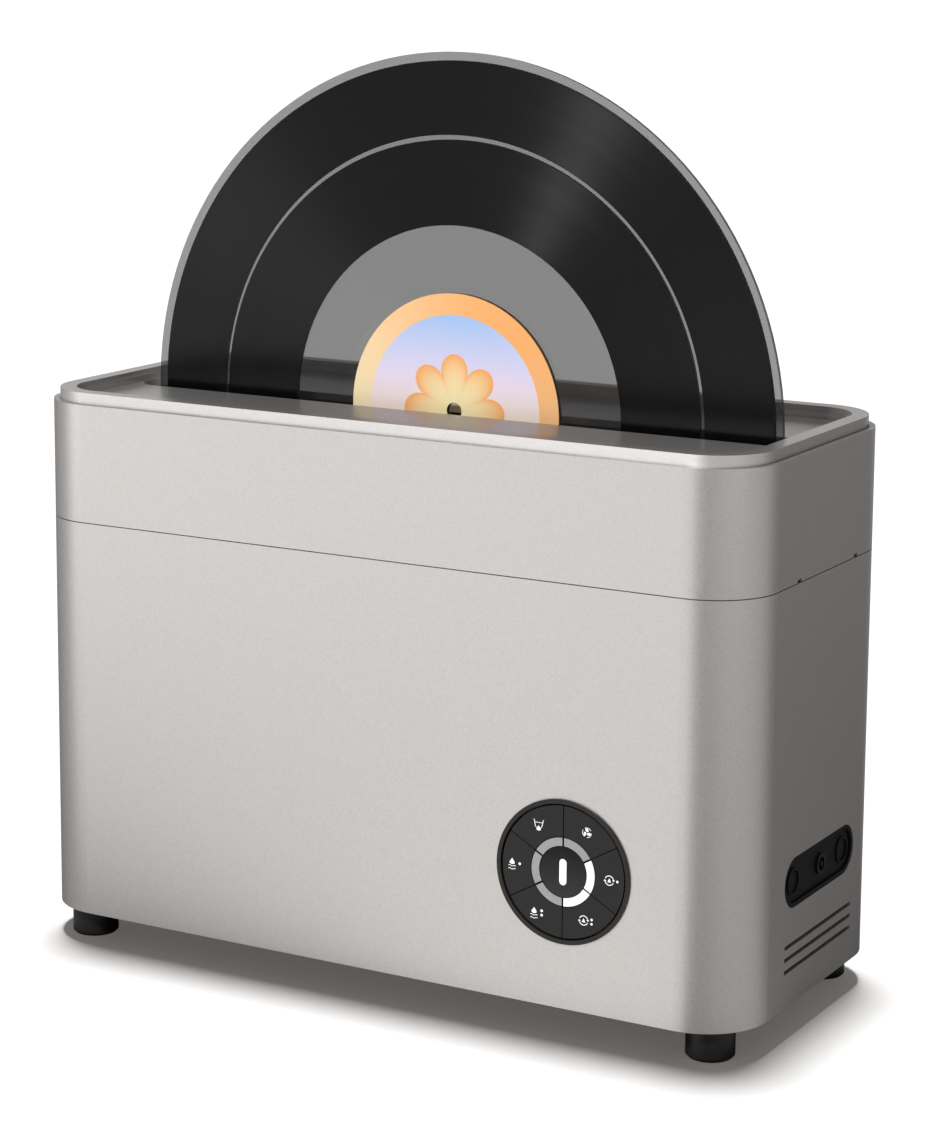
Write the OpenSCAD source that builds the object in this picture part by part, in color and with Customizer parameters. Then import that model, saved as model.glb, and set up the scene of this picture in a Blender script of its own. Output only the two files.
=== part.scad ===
// Ultrasonic record cleaning machine with a 12 inch record standing in its slot.
// Frame: X to the right seen from the front, Y to the back, Z up, origin on the
// floor at the centre between the feet.

/* [Case] */
// Depth of the case
body_d = 147; // [140:1:180]
// Radius of the case's upright corners
corner_r = 28; // [20:1:40]
// Wall of both housings
case_wall = 2.5; // [2:0.1:3]
// Height of the upper housing above the seam
upper_h = 51; // [45:1:65]
// Room under the bath, down to the case's bottom edge
under_room = 64.1; // [60:0.1:80]
// Open seam between the two housings
seam_gap = 0.4; // [0.2:0.1:1]
// Depth of the tongue that guides the upper housing
tongue_h = 5; // [3:0.5:8]
// Wall of the tongue
tongue_t = 2; // [1.5:0.1:3]
// Width of a pry notch in the end seam
notch_w = 4; // [2:0.5:8]
// Height of a pry notch
notch_h = 1.4; // [0.8:0.1:2.5]
// Half the distance between the two pry notches
notch_y = 28.6; // [20:0.1:36]

/* [Deck] */
// Step from the case's side in to the raised lip
lip_inset = 2.8; // [2.8:0.1:4]
// Height of the lip above the shoulder
lip_h = 4.8; // [3:0.1:8]
// Width of the lip's flat top
lip_t = 7; // [5:0.5:9]
// Width of the small ledge inside the lip
ledge_w = 1.2; // [0.6:0.1:2]
// Depth of the small ledge below the lip's top
ledge_drop = 2.2; // [1:0.1:2.8]
// Depth of the deck below the shoulder
deck_drop = 0.2; // [0:0.1:1.5]
// Thickness of the deck
deck_t = 3; // [2:0.1:4]
// Depth of the tray's outer skirt below the shoulder
skirt_h = 7; // [6:0.5:9]
// Room between the record's edge and each end of its slot
slot_gap = 7.4; // [5:0.2:7.6]
// Deck left between each end of the slot and the ledge
deck_end = 0.3; // [0.2:0.1:10]
// Width of the record slot
slot_w = 22; // [18:1:26]

/* [Record] */
// Outer radius of the record
record_r = 150.8; // [148:0.1:151.5]
// Thickness of the record's raised rim and middle
record_t = 2.2; // [1.8:0.1:2.6]
// Depth of the playing surface below the raised faces
groove_sink = 0.2; // [0.1:0.05:0.4]
// Radius of the label
label_r = 50; // [45:0.5:52]
// Thickness of the paper label
label_t = 0.1; // [0.05:0.01:0.2]
// Radius of the record's middle hole
hole_r = 3.63; // [3:0.01:4]
// Width of the raised rim
rim_w = 3; // [2:0.1:5]
// Height of the record's middle above the shoulder
record_rise = -0.4; // [-4:0.1:4]

/* [Bath] */
// Room between the record's edge and the half-round bath
bath_gap = 7.2; // [5:0.2:8]
// Inner width of the bath, front to back
bath_w = 30; // [26:1:34]
// Wall of the bath
bath_wall = 2.5; // [2:0.1:3]
// Reach of the bath's flange past its wall
flange_w = 6.5; // [4:0.5:10]
// Thickness of the bath's flange
flange_t = 2; // [1.5:0.1:3]
// Width of the gasket's rim
gasket_w = 4; // [3:0.5:6]
// Height of the record edge guides
guide_h = 22; // [15:1:30]
// Reach of a guide inside the record's edge
guide_in = 5; // [3:0.5:8]
// Depth of the guides' top below the flange
guide_drop = 8; // [4:0.5:12]
// Gap between a guide and each face of the record
guide_gap = 0.7; // [0.4:0.1:1.2]
// Radius of the drain and fill ports
port_r = 2.8; // [2:0.1:3.5]
// Wall of the ports and hoses
port_wall = 1.4; // [1:0.1:2]
// Length of the drain port below the bath
drain_l = 12; // [8:1:16]

/* [Transducers] */
// Radius of a transducer's front mass
horn_r = 21; // [15:0.5:24]
// Length of the front mass
horn_l = 8; // [5:0.5:12]
// Radius of the piezo rings and the back mass
piezo_r = 15; // [10:0.5:18]
// Length of the pair of piezo rings
piezo_l = 10; // [6:0.5:12]
// Length of the back mass
mass_l = 14; // [8:0.5:18]
// Distance of each transducer from the middle
horn_x = 45; // [30:1:55]
// Height of the transducers above the bath's lowest point
horn_rise = 50; // [46:1:60]

/* [Rollers] */
// Angle below level at which the record sits on each roller
roller_angle = 50; // [40:1:60]
// Radius at the floor of the roller's groove
groove_r = 8.5; // [7.5:0.1:10]
// Radius of the roller's flanges
flange_r = 11; // [10:0.1:12.5]
// Width of a roller
roller_w = 10; // [8:0.5:12]
// Radius of the roller's hub
hub_r = 6.5; // [5:0.1:7]
// Radius of the roller shafts
shaft_r = 2.5; // [2:0.1:3]
// Wall of a shaft bush
bush_t = 2; // [1.5:0.1:2.5]
// Running clearance, shaft to bush
shaft_gap = 0.05; // [0.03:0.01:0.09]
// Gap between the record's edge and the groove's floor
edge_gap = 0.3; // [0.2:0.05:0.5]
// Room round a roller in its bulge of the bath
bulge_gap = 2; // [1:0.5:3]
// Length of the bearing bosses outside the bath
boss_l = 4.5; // [3:0.5:6]

/* [Gears] */
// Module of the gears
gear_m = 0.8; // [0.8:0.05:0.85]
// Teeth on the roller's gear
gear_n = 48; // [44:1:52]
// Teeth on the motor's pinion
pinion_n = 12; // [11:1:14]
// Width of the gears
gear_w = 6; // [4:0.5:8]
// Radius of the drive motor
motor_r = 12.5; // [10:0.5:14]
// Gap behind the drive motor
motor_room = 2.5; // [1:0.5:10]

/* [Panel] */
// Distance of the panel's centre from the case's right end
panel_end = 77.2; // [76:0.1:100]
// Height of the panel's centre above the case's bottom edge
panel_z = 56.9; // [50:0.1:70]
// Outer radius of the bezel
bezel_r = 29.8; // [29.5:0.1:31.5]
// Radius of the ring of keys
keys_r = 27.2; // [26:0.1:27.5]
// Gap between the ring of keys and the bezel
rim_gap = 0.8; // [0.4:0.1:1]
// Outer radius of the light ring
light_out_r = 14.1; // [13:0.1:15]
// Inner radius of the light ring
light_in_r = 10.7; // [10:0.1:11.5]
// Gap round each key
key_gap = 0.4; // [0.3:0.05:0.6]
// Thickness of the keys
key_t = 3; // [2.5:0.1:3.2]
// Travel of the keys
key_travel = 1; // [0.5:0.1:1.2]
// Height of the bezel above the front
bezel_rise = 0.8; // [0.4:0.1:1.2]
// Height of the keys above the front
key_rise = 0.3; // [0:0.1:0.4]
// Gap between two light segments
light_gap = 0.8; // [0.5:0.1:1.2]
// Width of the light bar on the centre key
bar_w = 3.2; // [2:0.1:4]
// Length of the light bar on the centre key
bar_l = 10.8; // [8:0.1:13]
// Radius of the keys' stems
stem_r = 1.6; // [1.2:0.1:2]

/* [Ends] */
// Distance of the side cover, vents and notches behind the middle of the end
end_shift = 4.5; // [0:0.1:6]
// Length of the side cover
cover_l = 71; // [60:1:76]
// Height of the side cover
cover_h = 21; // [18:0.1:24]
// Depth of the side cover's face below its rim
cover_d = 1.2; // [0.8:0.1:4]
// Height of the side cover's centre above the case's bottom edge
cover_z = 50.8; // [50:0.1:58]
// Distance of the supply socket behind the middle of the side cover
socket_y = 2.8; // [0:0.1:8]
// Radius of the supply socket's bore
socket_r = 2.85; // [2.5:0.05:3.2]
// Length of a vent slot
vent_l = 68; // [50:1:74]
// Height of a vent slot
vent_h = 1.8; // [1.2:0.1:2.4]
// Height of the lowest vent slot above the case's bottom edge
vent_z = 15; // [12:0.5:17]
// Spacing of the vent slots
vent_pitch = 5.1; // [4:0.1:6]

/* [Feet] */
// Radius of a foot
foot_r = 10; // [8:0.1:12]
// Height of the case's bottom edge above the floor
foot_h = 14; // [12:0.5:20]
// Distance of each foot from the nearer end of the case
foot_end = 19.5; // [18:0.5:40]
// Distance of each foot from the front or the back of the case
foot_side = 17.5; // [16:0.5:24]
// Thickness of the base plate
base_t = 3; // [2:0.1:4]
// Depth of the base plate inside the case's bottom edge
base_sink = 1; // [0.5:0.1:2]

/* [Water tank] */
// Gap between the tank bay and the blower beside it
bay_side = 0.6; // [0.4:0.1:6]
// Gap between the tank bay and the bath
bay_room = 6.5; // [5:0.5:9]
// Height of the tank
tank_h = 66; // [50:1:68]
// Wall of the tank
tank_wall = 2; // [1.5:0.1:3]
// Distance of the tank's centre from the middle of the back
tank_x = -30; // [-34:1:-26]
// Clear room round the tank in its bay
tank_gap = 0.8; // [0.5:0.1:1.5]
// Wall of the tank bay
bay_wall = 1.6; // [1.2:0.1:2]
// Radius of the tank's filler hole
filler_r = 13; // [9:0.5:14]
// Height of the cap above the tank
cap_h = 2.6; // [2:0.1:3]
// Height of the tank's floor above the base plate
bay_rise = 8; // [6:0.5:10]

/* [Pump and valve] */
// Gap behind the pump
pump_back = 5.4; // [3:0.1:8]
// Length of the pump's ports
pump_port = 3.1; // [2:0.1:4]
// Height of the volute
pump_h = 16; // [14:0.5:18]
// Step in from the volute to the pump's motor
motor_step = 3; // [2:0.5:5]
// Length of the pump's motor
pump_motor_l = 30; // [20:1:34]
// Bend radius of the hoses
bend_r = 7.5; // [7:0.1:8]
// Width of the drain valve's block
valve_w = 22; // [18:1:24]
// Radius of the drain valve's coil
coil_r = 9; // [7:0.5:10]
// Length of the drain valve's coil
coil_l = 28; // [20:1:30]
// Radius of the drain valve's plunger
plunger_r = 4; // [3:0.1:5]
// Gap round the drain valve's plunger
plunger_gap = 0.06; // [0.03:0.01:0.09]

/* [Blowers] */
// Side of a blower housing
blower_w = 50; // [44:1:52]
// Height of a blower housing
blower_h = 15; // [12:0.5:16]
// Distance of each blower's centre from the nearer end of the case
blower_end = 39.5; // [38:0.5:42]
// Radius of a blower wheel
wheel_r = 18; // [14:0.5:19]
// Number of blades on a blower wheel
blade_n = 18; // [12:1:24]
// Wall of the air ducts
duct_wall = 1.5; // [1.2:0.1:2]
// Width of an air duct's riser
duct_w = 24; // [18:1:26]
// Depth of an air duct's riser
duct_d = 12; // [10:0.5:14]
// Length of an air duct's outlet along the bath
duct_l = 88; // [70:1:90]
// Height of an air duct's outlet
duct_h = 15; // [12:0.5:16]

/* [Electronics] */
// Width of the driver board
board_w = 104; // [80:1:110]
// Height of the driver board
board_h = 76; // [60:1:80]
// Thickness of the circuit boards
board_t = 1.6; // [1:0.1:2]
// Distance of the driver board's centre from the left end of the case
board_end = 87.5; // [86:0.5:92]
// Number of fins on the heat sink
fin_n = 7; // [4:1:8]

/* [Hidden] */
$fn = 64;
// Facets of the large arcs when they are previewed
fine = 144;
// Reach of a cut past the face it opens
cut = 1;
// Clearance between pieces that drop into each other
fit_gap = 0.3;

// The record sets the size of the case
slot_l = 2 * (record_r + slot_gap);
body_w = slot_l + 2 * (deck_end + ledge_w + lip_t + lip_inset);
bath_r = record_r + bath_gap;
body_h = under_room + bath_wall + bath_r - record_rise;
lower_h = body_h - upper_h;

front_y = -body_d / 2;
back_y = body_d / 2;
end_x = body_w / 2;
in_x = end_x - case_wall;
in_y = back_y - case_wall;
case_z = foot_h;
seam_z = case_z + lower_h;
top_z = case_z + body_h;
lip_z = top_z + lip_h;
deck_z = top_z - deck_drop;
skirt_z = top_z - skirt_h;
base_z = case_z + base_sink;
floor_z = base_z + base_t;

// Ledge in the upper housing that carries the deck tray
rest_w = 4;
rest_t = 3;
skirt_t = 5;

record_z = top_z + record_rise;
face_y = record_t / 2;

bath_out = bath_w / 2 + bath_wall;
gasket_h = 3.8;
bath_z = deck_z - deck_t - gasket_h;
bath_low = record_z - bath_r - bath_wall;
flange_x = sqrt(pow(bath_r + bath_wall, 2) - pow(record_z - bath_z, 2));
port_out = port_r + port_wall;

roller_run = record_r + edge_gap + groove_r;
roller_x = roller_run * cos(roller_angle);
roller_z = record_z - roller_run * sin(roller_angle);
bush_r = shaft_r + bush_t;
boss_wall = 3;
boss_y = bath_out + boss_l;
bush_flange_r = bush_r + 2;
bush_flange_t = 1.5;
bush_y = boss_y + bush_flange_t;

// Gears behind the bath
gear_y = bush_y + 1;
gear_slack = 0.12;
gear_c = gear_m * (gear_n + pinion_n) / 2 + gear_slack;
pinion_z = roller_z + gear_c;
plate_t = 2;
plate_y = gear_y + gear_w + 4;
motor_y = plate_y + plate_t;
motor_l = in_y - motor_room - motor_y;
plate_w = 44;
plate_h = 36;
plate_post = [14, 9];
post_r = 3;

// Control panel
panel_x = end_x - panel_end;
key_y = front_y - key_rise;
key_back = key_y + key_t;
carrier_y = key_back + key_travel + fit_gap;
carrier_t = 2;
carrier_r = bezel_r + 4;
carrier_rim = 3.5;
sleeve_r = keys_r + rim_gap + 0.8;
panel_hole = sleeve_r + fit_gap;
stem_end = carrier_y + carrier_t + 0.2;
stem_ring = (light_out_r + keys_r) / 2;
switch_y = stem_end + key_travel + 0.1;
switch_h = 2;
switch_w = 5;
board_y = switch_y + switch_h;
bar_depth = 1.2;
power_r = light_in_r - key_gap;
panel_up = case_z + panel_z;
key_angles = [for (k = [0:5]) 60 * k];

// Side cover and supply socket
cover_up = case_z + cover_z;
cover_wall = 1.5;
cover_x = end_x - cover_d;
cover_back = min(cover_x, in_x) - cover_wall;
socket_wall = 1.6;
socket_box = 12;
pin_r = 1;
boss_out = 25;
boss_r = 5.7;
boss_t = 0.6;

// Feet and fastenings
foot_x = end_x - foot_end;
foot_y = back_y - foot_side;
screw_r = 2;
screw_head_r = 4.2;
screw_head_t = 2;
screw_hole_gap = 0.15;
foot_recess = 6;
nut_t = 2;
case_screw_r = 1.5;
case_screw_l = 12;
case_post_r = 4.5;
case_post_h = 20;
post_in = 54.5;
post_x = end_x - post_in;
case_posts = [[-post_x, -1], [0, -1], [post_x, -1], [-post_x, 1], [post_x, 1]];

// Water tank and its bay
bay_z = floor_z + bay_rise;
tank_z = bay_z + tank_gap;
tank_top = tank_z + tank_h;
bay_top = tank_top + cap_h + tank_gap;
blower_x = end_x - blower_end;
bay_left = blower_w / 2 + bay_side + bay_wall - blower_x;
bay_half = tank_x - bay_left;
tank_w = 2 * (bay_half - tank_gap);
bay_back = 2.4;
bay_end = tank_x + bay_half + bay_wall;
bay_y = bath_out + bay_room + bay_wall;
tank_y = bay_y + bay_back;
tank_d = in_y - tank_y;
valve_z = bay_z + 9;
valve_boss_r = 6.5;
valve_boss_l = 8;
valve_stem_r = 1.5;
port_ring = 3.4;
valve_head_r = 5;
valve_head_t = 2;
return_x = 0;
rail_w = 4;
slide_gap = 0.05;
cap_y = (tank_y + in_y) / 2;
cap_r = filler_r + 2;
cap_gap = 0.25;
cap_plug = 6;
filter_r = 9;
filter_l = 20;
filter_wall = 2;

// Stands on the base plate for the bath, the tank bay and the drain valve
saddle_x = 55;
saddle_w = 10;
saddle_up = 20;
saddle_z = bath_low + saddle_up;
leg_in = 10;
leg_x = tank_w / 2 - leg_in;
leg_w = 8;
leg_l = tank_d - 4;
stand_w = 14;

// Drain valve below the bath
valve_top = bath_low - drain_l - 2;
drain_z = valve_top - valve_w / 2;
plunger_seat = port_r + 0.5;

// Pump beside the tank bay
pump_r = (in_y - pump_back - bath_out - 2 * bend_r - pump_port) / 2;
pump_motor_r = pump_r - motor_step;
pump_x = bay_end + 1.4 + pump_r;
pump_y = in_y - pump_back - pump_r;
pump_z = floor_z + 4;
pump_wall = 2;
impeller_r = pump_r - 3.5;
inlet_z = pump_z + pump_h / 2 + 1;
spindle_r = 1.5;
spindle_l = 5;
fill_x = pump_x;
fill_y = bath_out + bend_r;
fill_up = 26;
fill_z = bath_low + fill_up;

// Blowers and ducts
blower_y = -2;
blower_z = floor_z + 4;
blower_wall = 1.5;
duct_shift = 6;
duct_mid = blower_x + duct_shift;
duct_y = front_y + 7.5;
duct_end = duct_mid + duct_w / 2;
duct_room = 10;
duct_top = bath_z - flange_t - duct_room;
window_n = 6;
window_w = 8;
blade_t = 0.8;

// Driver board behind the front wall
board_x = board_end - end_x;
sink_w = 40;
sink_d = 12;
sink_h = 26;
sink_base = 3;
sink_in = 8;
sink_up = 40;
can_r = 6;
can_l = 16;
can_step = 16;
can_up = 52;
choke_w = 24;
choke_d = 16;
choke_h = 22;
choke_in = 12;
choke_up = 8;
relay_w = 30;
relay_d = 8;
relay_h = 12;
relay_in = 4;
relay_up = 12;
driver_in = 11;
driver_y = front_y + driver_in;
driver_z = floor_z + case_post_h + 4;
standoff_r = 3;

// Plain rounded rectangle
module round_rect(w, d, r) {
    square([w - 2 * r, d], center = true);
    square([w, d - 2 * r], center = true);
    for (sx = [-1, 1]) for (sy = [-1, 1])
        translate([sx * (w / 2 - r), sy * (d / 2 - r)]) circle(r = r);
}

// Slot outline with round ends
module stadium(l, w) {
    square([l - w, w], center = true);
    for (s = [-1, 1]) translate([s * (l - w) / 2, 0]) circle(d = w);
}

// Slab with the case's outline, drawn in by inset on every side
module case_slab(inset, z0, z1) {
    translate([0, 0, z0]) linear_extrude(z1 - z0)
        round_rect(body_w - 2 * inset, body_d - 2 * inset, corner_r - inset);
}

// Outline in X and Z, run from y0 to y1
module run_y(y0, y1) {
    translate([0, y1, 0]) rotate([90, 0, 0]) linear_extrude(y1 - y0) children();
}

// Outline in Y and Z, run from x0 to x1
module run_x(x0, x1) {
    translate([x0, 0, 0]) rotate([90, 0, 90]) linear_extrude(x1 - x0) children();
}

// Round bar along Y
module rod_y(x, z, y0, y1, r) {
    translate([x, y1, z]) rotate([90, 0, 0]) cylinder(h = y1 - y0, r = r);
}

// Ring along Y
module ring_y(x, z, y0, y1, r, bore) {
    difference() {
        rod_y(x, z, y0, y1, r);
        rod_y(x, z, y0 - cut, y1 + cut, bore);
    }
}

// Box between two corners
module box(a, b) {
    translate(a) cube(b - a);
}

// Ring along Z
module ring_z(r, bore, z0, z1) {
    translate([0, 0, z0]) difference() {
        cylinder(h = z1 - z0, r = r);
        translate([0, 0, -cut]) cylinder(h = z1 - z0 + 2 * cut, r = bore);
    }
}

module upper_housing() {
    color([0.78, 0.77, 0.75]) difference() {
        union() {
            difference() {
                case_slab(0, seam_z + seam_gap / 2, top_z);
                case_slab(case_wall, seam_z - cut, skirt_z - rest_t);
                case_slab(lip_inset + rest_w, seam_z, top_z);
                case_slab(lip_inset - fit_gap, skirt_z, top_z + cut);
            }
            difference() {
                case_slab(case_wall + fit_gap, seam_z - tongue_h, seam_z + tongue_h);
                case_slab(case_wall + tongue_t, seam_z - tongue_h - cut, seam_z + tongue_h + cut);
            }
            difference() {
                case_slab(case_wall - fit_gap, seam_z + seam_gap / 2, seam_z + tongue_h);
                case_slab(case_wall + tongue_t, seam_z - cut, seam_z + tongue_h + cut);
            }
        }
        for (s = [-1, 1]) translate([end_x, end_shift + s * notch_y, seam_z + seam_gap / 2])
            cube([2 * case_wall, notch_w, 2 * notch_h], center = true);
    }
}

module lower_housing() {
    color([0.77, 0.76, 0.74]) {
        difference() {
            case_slab(0, case_z, seam_z - seam_gap / 2);
            case_slab(case_wall, case_z - cut, seam_z);
            rod_y(panel_x, panel_up, front_y - cut, -in_y + cut, panel_hole);
            run_x(in_x - cut, end_x + cut) translate([end_shift, cover_up]) stadium(cover_l, cover_h);
            for (k = [0:2]) translate([0, end_shift, case_z + vent_z + k * vent_pitch])
                cube([body_w + 2 * cut, vent_l, vent_h], center = true);
            run_y(in_y - cut, back_y + cut) translate([tank_x, (bay_z + bay_top) / 2])
                square([2 * bay_half, bay_top - bay_z], center = true);
        }
        for (p = case_posts) translate([p[0], p[1] * (in_y - case_post_r + fit_gap), floor_z])
            difference() {
                cylinder(h = case_post_h, r = case_post_r);
                translate([0, 0, -cut]) cylinder(h = case_screw_l + 2 + cut, r = case_screw_r);
            }
        for (sx = [-1, 1]) for (sz = [-1, 1])
            rod_y(board_x + sx * (board_w / 2 - 5), driver_z + board_h / 2 + sz * (board_h / 2 - 5),
                  -in_y - fit_gap, driver_y, standoff_r);
    }
}

module deck_tray() {
    color([0.66, 0.66, 0.65]) difference() {
        case_slab(lip_inset, skirt_z, lip_z);
        case_slab(lip_inset + lip_t, lip_z - ledge_drop, lip_z + cut);
        case_slab(lip_inset + lip_t + ledge_w, deck_z, lip_z);
        case_slab(lip_inset + skirt_t, skirt_z - cut, deck_z - deck_t);
        translate([0, 0, skirt_z]) linear_extrude(lip_z - skirt_z) stadium(slot_l, slot_w);
    }
}

module base_plate() {
    color([0.16, 0.16, 0.17]) difference() {
        union() {
            case_slab(case_wall + fit_gap, base_z, floor_z);
            for (s = [-1, 1]) translate([s * blower_x, s * blower_y, floor_z])
                for (sx = [-1, 1]) for (sy = [-1, 1])
                    translate([sx * (blower_w / 2 - 4), sy * (blower_w / 2 - 4), 0])
                        cylinder(h = blower_z - floor_z, r = post_r);
            translate([pump_x, pump_y, floor_z]) cylinder(h = pump_z - floor_z, r = pump_r - 3);
            difference() {
                for (s = [-1, 1]) translate([s * saddle_x, 0, 0])
                    box([-saddle_w / 2, -bath_w / 2, floor_z], [saddle_w / 2, bath_w / 2, saddle_z]);
                rod_y(0, record_z, -body_d, body_d, bath_r + bath_wall, $fn = fine);
            }
            for (s = [-1, 1]) translate([tank_x + s * leg_x, 0, 0])
                box([-leg_w / 2, bay_y, floor_z], [leg_w / 2, bay_y + leg_l, bay_z - bay_wall]);
            box([-stand_w / 2, -stand_w / 2, floor_z], [stand_w / 2, stand_w / 2, drain_z - valve_w / 2]);
        }
        for (p = case_posts) translate([p[0], p[1] * (in_y - case_post_r + fit_gap), base_z - cut])
            cylinder(h = base_t + 2 * cut, r = case_screw_r + screw_hole_gap);
        for (sx = [-1, 1]) for (sy = [-1, 1]) translate([sx * foot_x, sy * foot_y, base_z - cut])
            cylinder(h = base_t + 2 * cut, r = screw_r + screw_hole_gap);
    }
}

module feet() {
    chamfer = 1;
    color([0.09, 0.09, 0.09])
        for (sx = [-1, 1]) for (sy = [-1, 1]) translate([sx * foot_x, sy * foot_y, 0])
            rotate_extrude() polygon([
                [screw_head_r + fit_gap, 0], [foot_r - chamfer, 0], [foot_r, chamfer],
                [foot_r, base_z], [screw_r + screw_hole_gap, base_z],
                [screw_r + screw_hole_gap, foot_recess], [screw_head_r + fit_gap, foot_recess]]);
}

module foot_screws() {
    low = foot_recess - screw_head_t;
    color([0.7, 0.7, 0.7])
        for (sx = [-1, 1]) for (sy = [-1, 1]) translate([sx * foot_x, sy * foot_y, 0]) {
            translate([0, 0, low]) cylinder(h = screw_head_t, r = screw_head_r);
            translate([0, 0, low]) cylinder(h = floor_z + nut_t + 1 - low, r = screw_r);
            translate([0, 0, floor_z]) cylinder(h = nut_t, r = screw_head_r, $fn = 6);
        }
}

module case_screws() {
    head_r = 2.8;
    head_t = 1.6;
    slot_r = 1.8;
    slot_t = 0.8;
    color([0.72, 0.72, 0.72])
        for (p = case_posts) translate([p[0], p[1] * (in_y - case_post_r + fit_gap), base_z]) {
            difference() {
                translate([0, 0, -head_t]) cylinder(h = head_t, r = head_r);
                for (a = [0, 90]) rotate(a) translate([0, 0, -head_t])
                    cube([2 * slot_r, slot_t, slot_t * 2], center = true);
            }
            cylinder(h = base_t + case_screw_l, r = case_screw_r - 0.05);
        }
}

module side_cover() {
    color([0.07, 0.07, 0.07]) {
        for (t = [-1, 1])
            run_x(cover_x, cover_x + boss_t) translate([end_shift + t * boss_out, cover_up])
                difference() {
                    circle(r = boss_r);
                    circle(r = boss_r - 1);
                }
        cover_shell();
    }
}

// Plate of the side cover with its rim and its inner flange
module cover_shell() {
    difference() {
        union() {
            run_x(cover_back, end_x - fit_gap) translate([end_shift, cover_up])
                stadium(cover_l - 2 * fit_gap, cover_h - 2 * fit_gap);
            run_x(in_x - cover_wall, in_x) translate([end_shift, cover_up])
                stadium(cover_l + 2 * cover_wall, cover_h + 2 * cover_wall);
        }
        run_x(cover_x, end_x) translate([end_shift, cover_up])
            stadium(cover_l - 2 * (fit_gap + cover_wall), cover_h - 2 * (fit_gap + cover_wall));
        run_x(cover_back - cut, end_x) translate([end_shift + socket_y, cover_up])
            circle(r = socket_r + socket_wall);
    }
}

module supply_socket() {
    face_x = end_x - fit_gap;
    mid_y = end_shift + socket_y;
    color([0.12, 0.12, 0.12]) difference() {
        union() {
            translate([cover_back - socket_box, mid_y - socket_box / 2, cover_up - socket_box / 2])
                cube(socket_box);
            run_x(cover_back, face_x) translate([mid_y, cover_up]) circle(r = socket_r + socket_wall);
        }
        run_x(cover_back - socket_box / 2, face_x + cut) translate([mid_y, cover_up]) difference() {
            circle(r = socket_r);
            circle(r = pin_r);
        }
    }
}

// Wedge of a ring, with a constant gap to its neighbours
module sector(r_out, r_in, gap) {
    half = 30;
    reach = 2 * r_out;
    intersection() {
        difference() {
            circle(r = r_out);
            circle(r = r_in);
        }
        polygon([[gap, 0], [gap + reach * cos(half), reach * sin(half)],
                 [gap + reach * cos(half), -reach * sin(half)]]);
    }
}

module bezel() {
    color([0.16, 0.16, 0.155]) {
        ring_y(panel_x, panel_up, front_y - bezel_rise, front_y, bezel_r, keys_r + rim_gap);
        ring_y(panel_x, panel_up, front_y, carrier_y, sleeve_r, keys_r + rim_gap);
    }
}

// Sector key whose middle points at the given angle
module sector_key(angle) {
    color([0.2, 0.2, 0.2]) {
        run_y(key_y, key_back) translate([panel_x, panel_up]) rotate(angle)
            sector(keys_r, light_out_r + key_gap, key_gap);
        rod_y(panel_x + stem_ring * cos(angle), panel_up + stem_ring * sin(angle),
              key_back, stem_end, stem_r);
    }
}

module key_auto_short() sector_key(key_angles[0]);
module key_dry() sector_key(key_angles[1]);
module key_drain() sector_key(key_angles[2]);
module key_wash_short() sector_key(key_angles[3]);
module key_wash_long() sector_key(key_angles[4]);
module key_auto_long() sector_key(key_angles[5]);

module power_key() {
    color([0.15, 0.15, 0.15]) {
        difference() {
            rod_y(panel_x, panel_up, key_y, key_back, power_r);
            run_y(key_y - cut, key_y + bar_depth) translate([panel_x, panel_up])
                rotate(90) stadium(bar_l, bar_w);
        }
        rod_y(panel_x, panel_up, key_back, stem_end, stem_r);
    }
}

module power_light() {
    color([1, 1, 1]) run_y(key_y, key_y + bar_depth) translate([panel_x, panel_up])
        rotate(90) stadium(bar_l, bar_w);
}

// One segment of the light ring
module light(angle) {
    run_y(key_y, carrier_y - 1) translate([panel_x, panel_up]) rotate(angle)
        sector(light_out_r, light_in_r, light_gap);
}

module lights_on() {
    color([1, 1, 1]) for (k = [0, 5]) light(key_angles[k]);
}

module lights_off() {
    color([0.69, 0.69, 0.69]) for (k = [1:4]) light(key_angles[k]);
}

module panel_carrier() {
    post_ring = carrier_r - 8;
    color([0.14, 0.14, 0.14]) difference() {
        union() {
            rod_y(panel_x, panel_up, carrier_y, carrier_y + carrier_t, carrier_r);
            ring_y(panel_x, panel_up, -in_y, carrier_y + 0.5, carrier_r, carrier_r - carrier_rim);
            ring_y(panel_x, panel_up, carrier_y - 1, carrier_y, light_out_r, light_in_r);
            for (a = [30, 150, 270])
                rod_y(panel_x + post_ring * cos(a), panel_up + post_ring * sin(a),
                      carrier_y + carrier_t, board_y, 2);
        }
        rod_y(panel_x, panel_up, carrier_y - cut, carrier_y + carrier_t + cut, stem_r + fit_gap);
        for (a = key_angles)
            rod_y(panel_x + stem_ring * cos(a), panel_up + stem_ring * sin(a),
                  carrier_y - cut, carrier_y + carrier_t + cut, stem_r + fit_gap);
    }
}

module panel_board() {
    color([0.06, 0.25, 0.14]) rod_y(panel_x, panel_up, board_y, board_y + board_t, bezel_r);
}

module panel_switches() {
    button_r = 1.2;
    spots = concat([[0, 0]], [for (a = key_angles) [stem_ring * cos(a), stem_ring * sin(a)]]);
    color([0.3, 0.3, 0.3]) for (p = spots) {
        translate([panel_x + p[0], board_y - switch_h / 2 + 0.25, panel_up + p[1]])
            cube([switch_w, switch_h - 0.5, switch_w], center = true);
        rod_y(panel_x + p[0], panel_up + p[1], switch_y, board_y - switch_h / 2, button_r);
    }
}

// Half-round outline of the bath with a bulge for each roller
module bath_outline(off, top) {
    intersection() {
        union() {
            translate([0, record_z]) circle(r = bath_r + off, $fn = fine);
            for (s = [-1, 1]) translate([s * roller_x, roller_z])
                circle(r = flange_r + bulge_gap + off);
        }
        translate([-body_w / 2, 0]) square([body_w, top]);
    }
}

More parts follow.
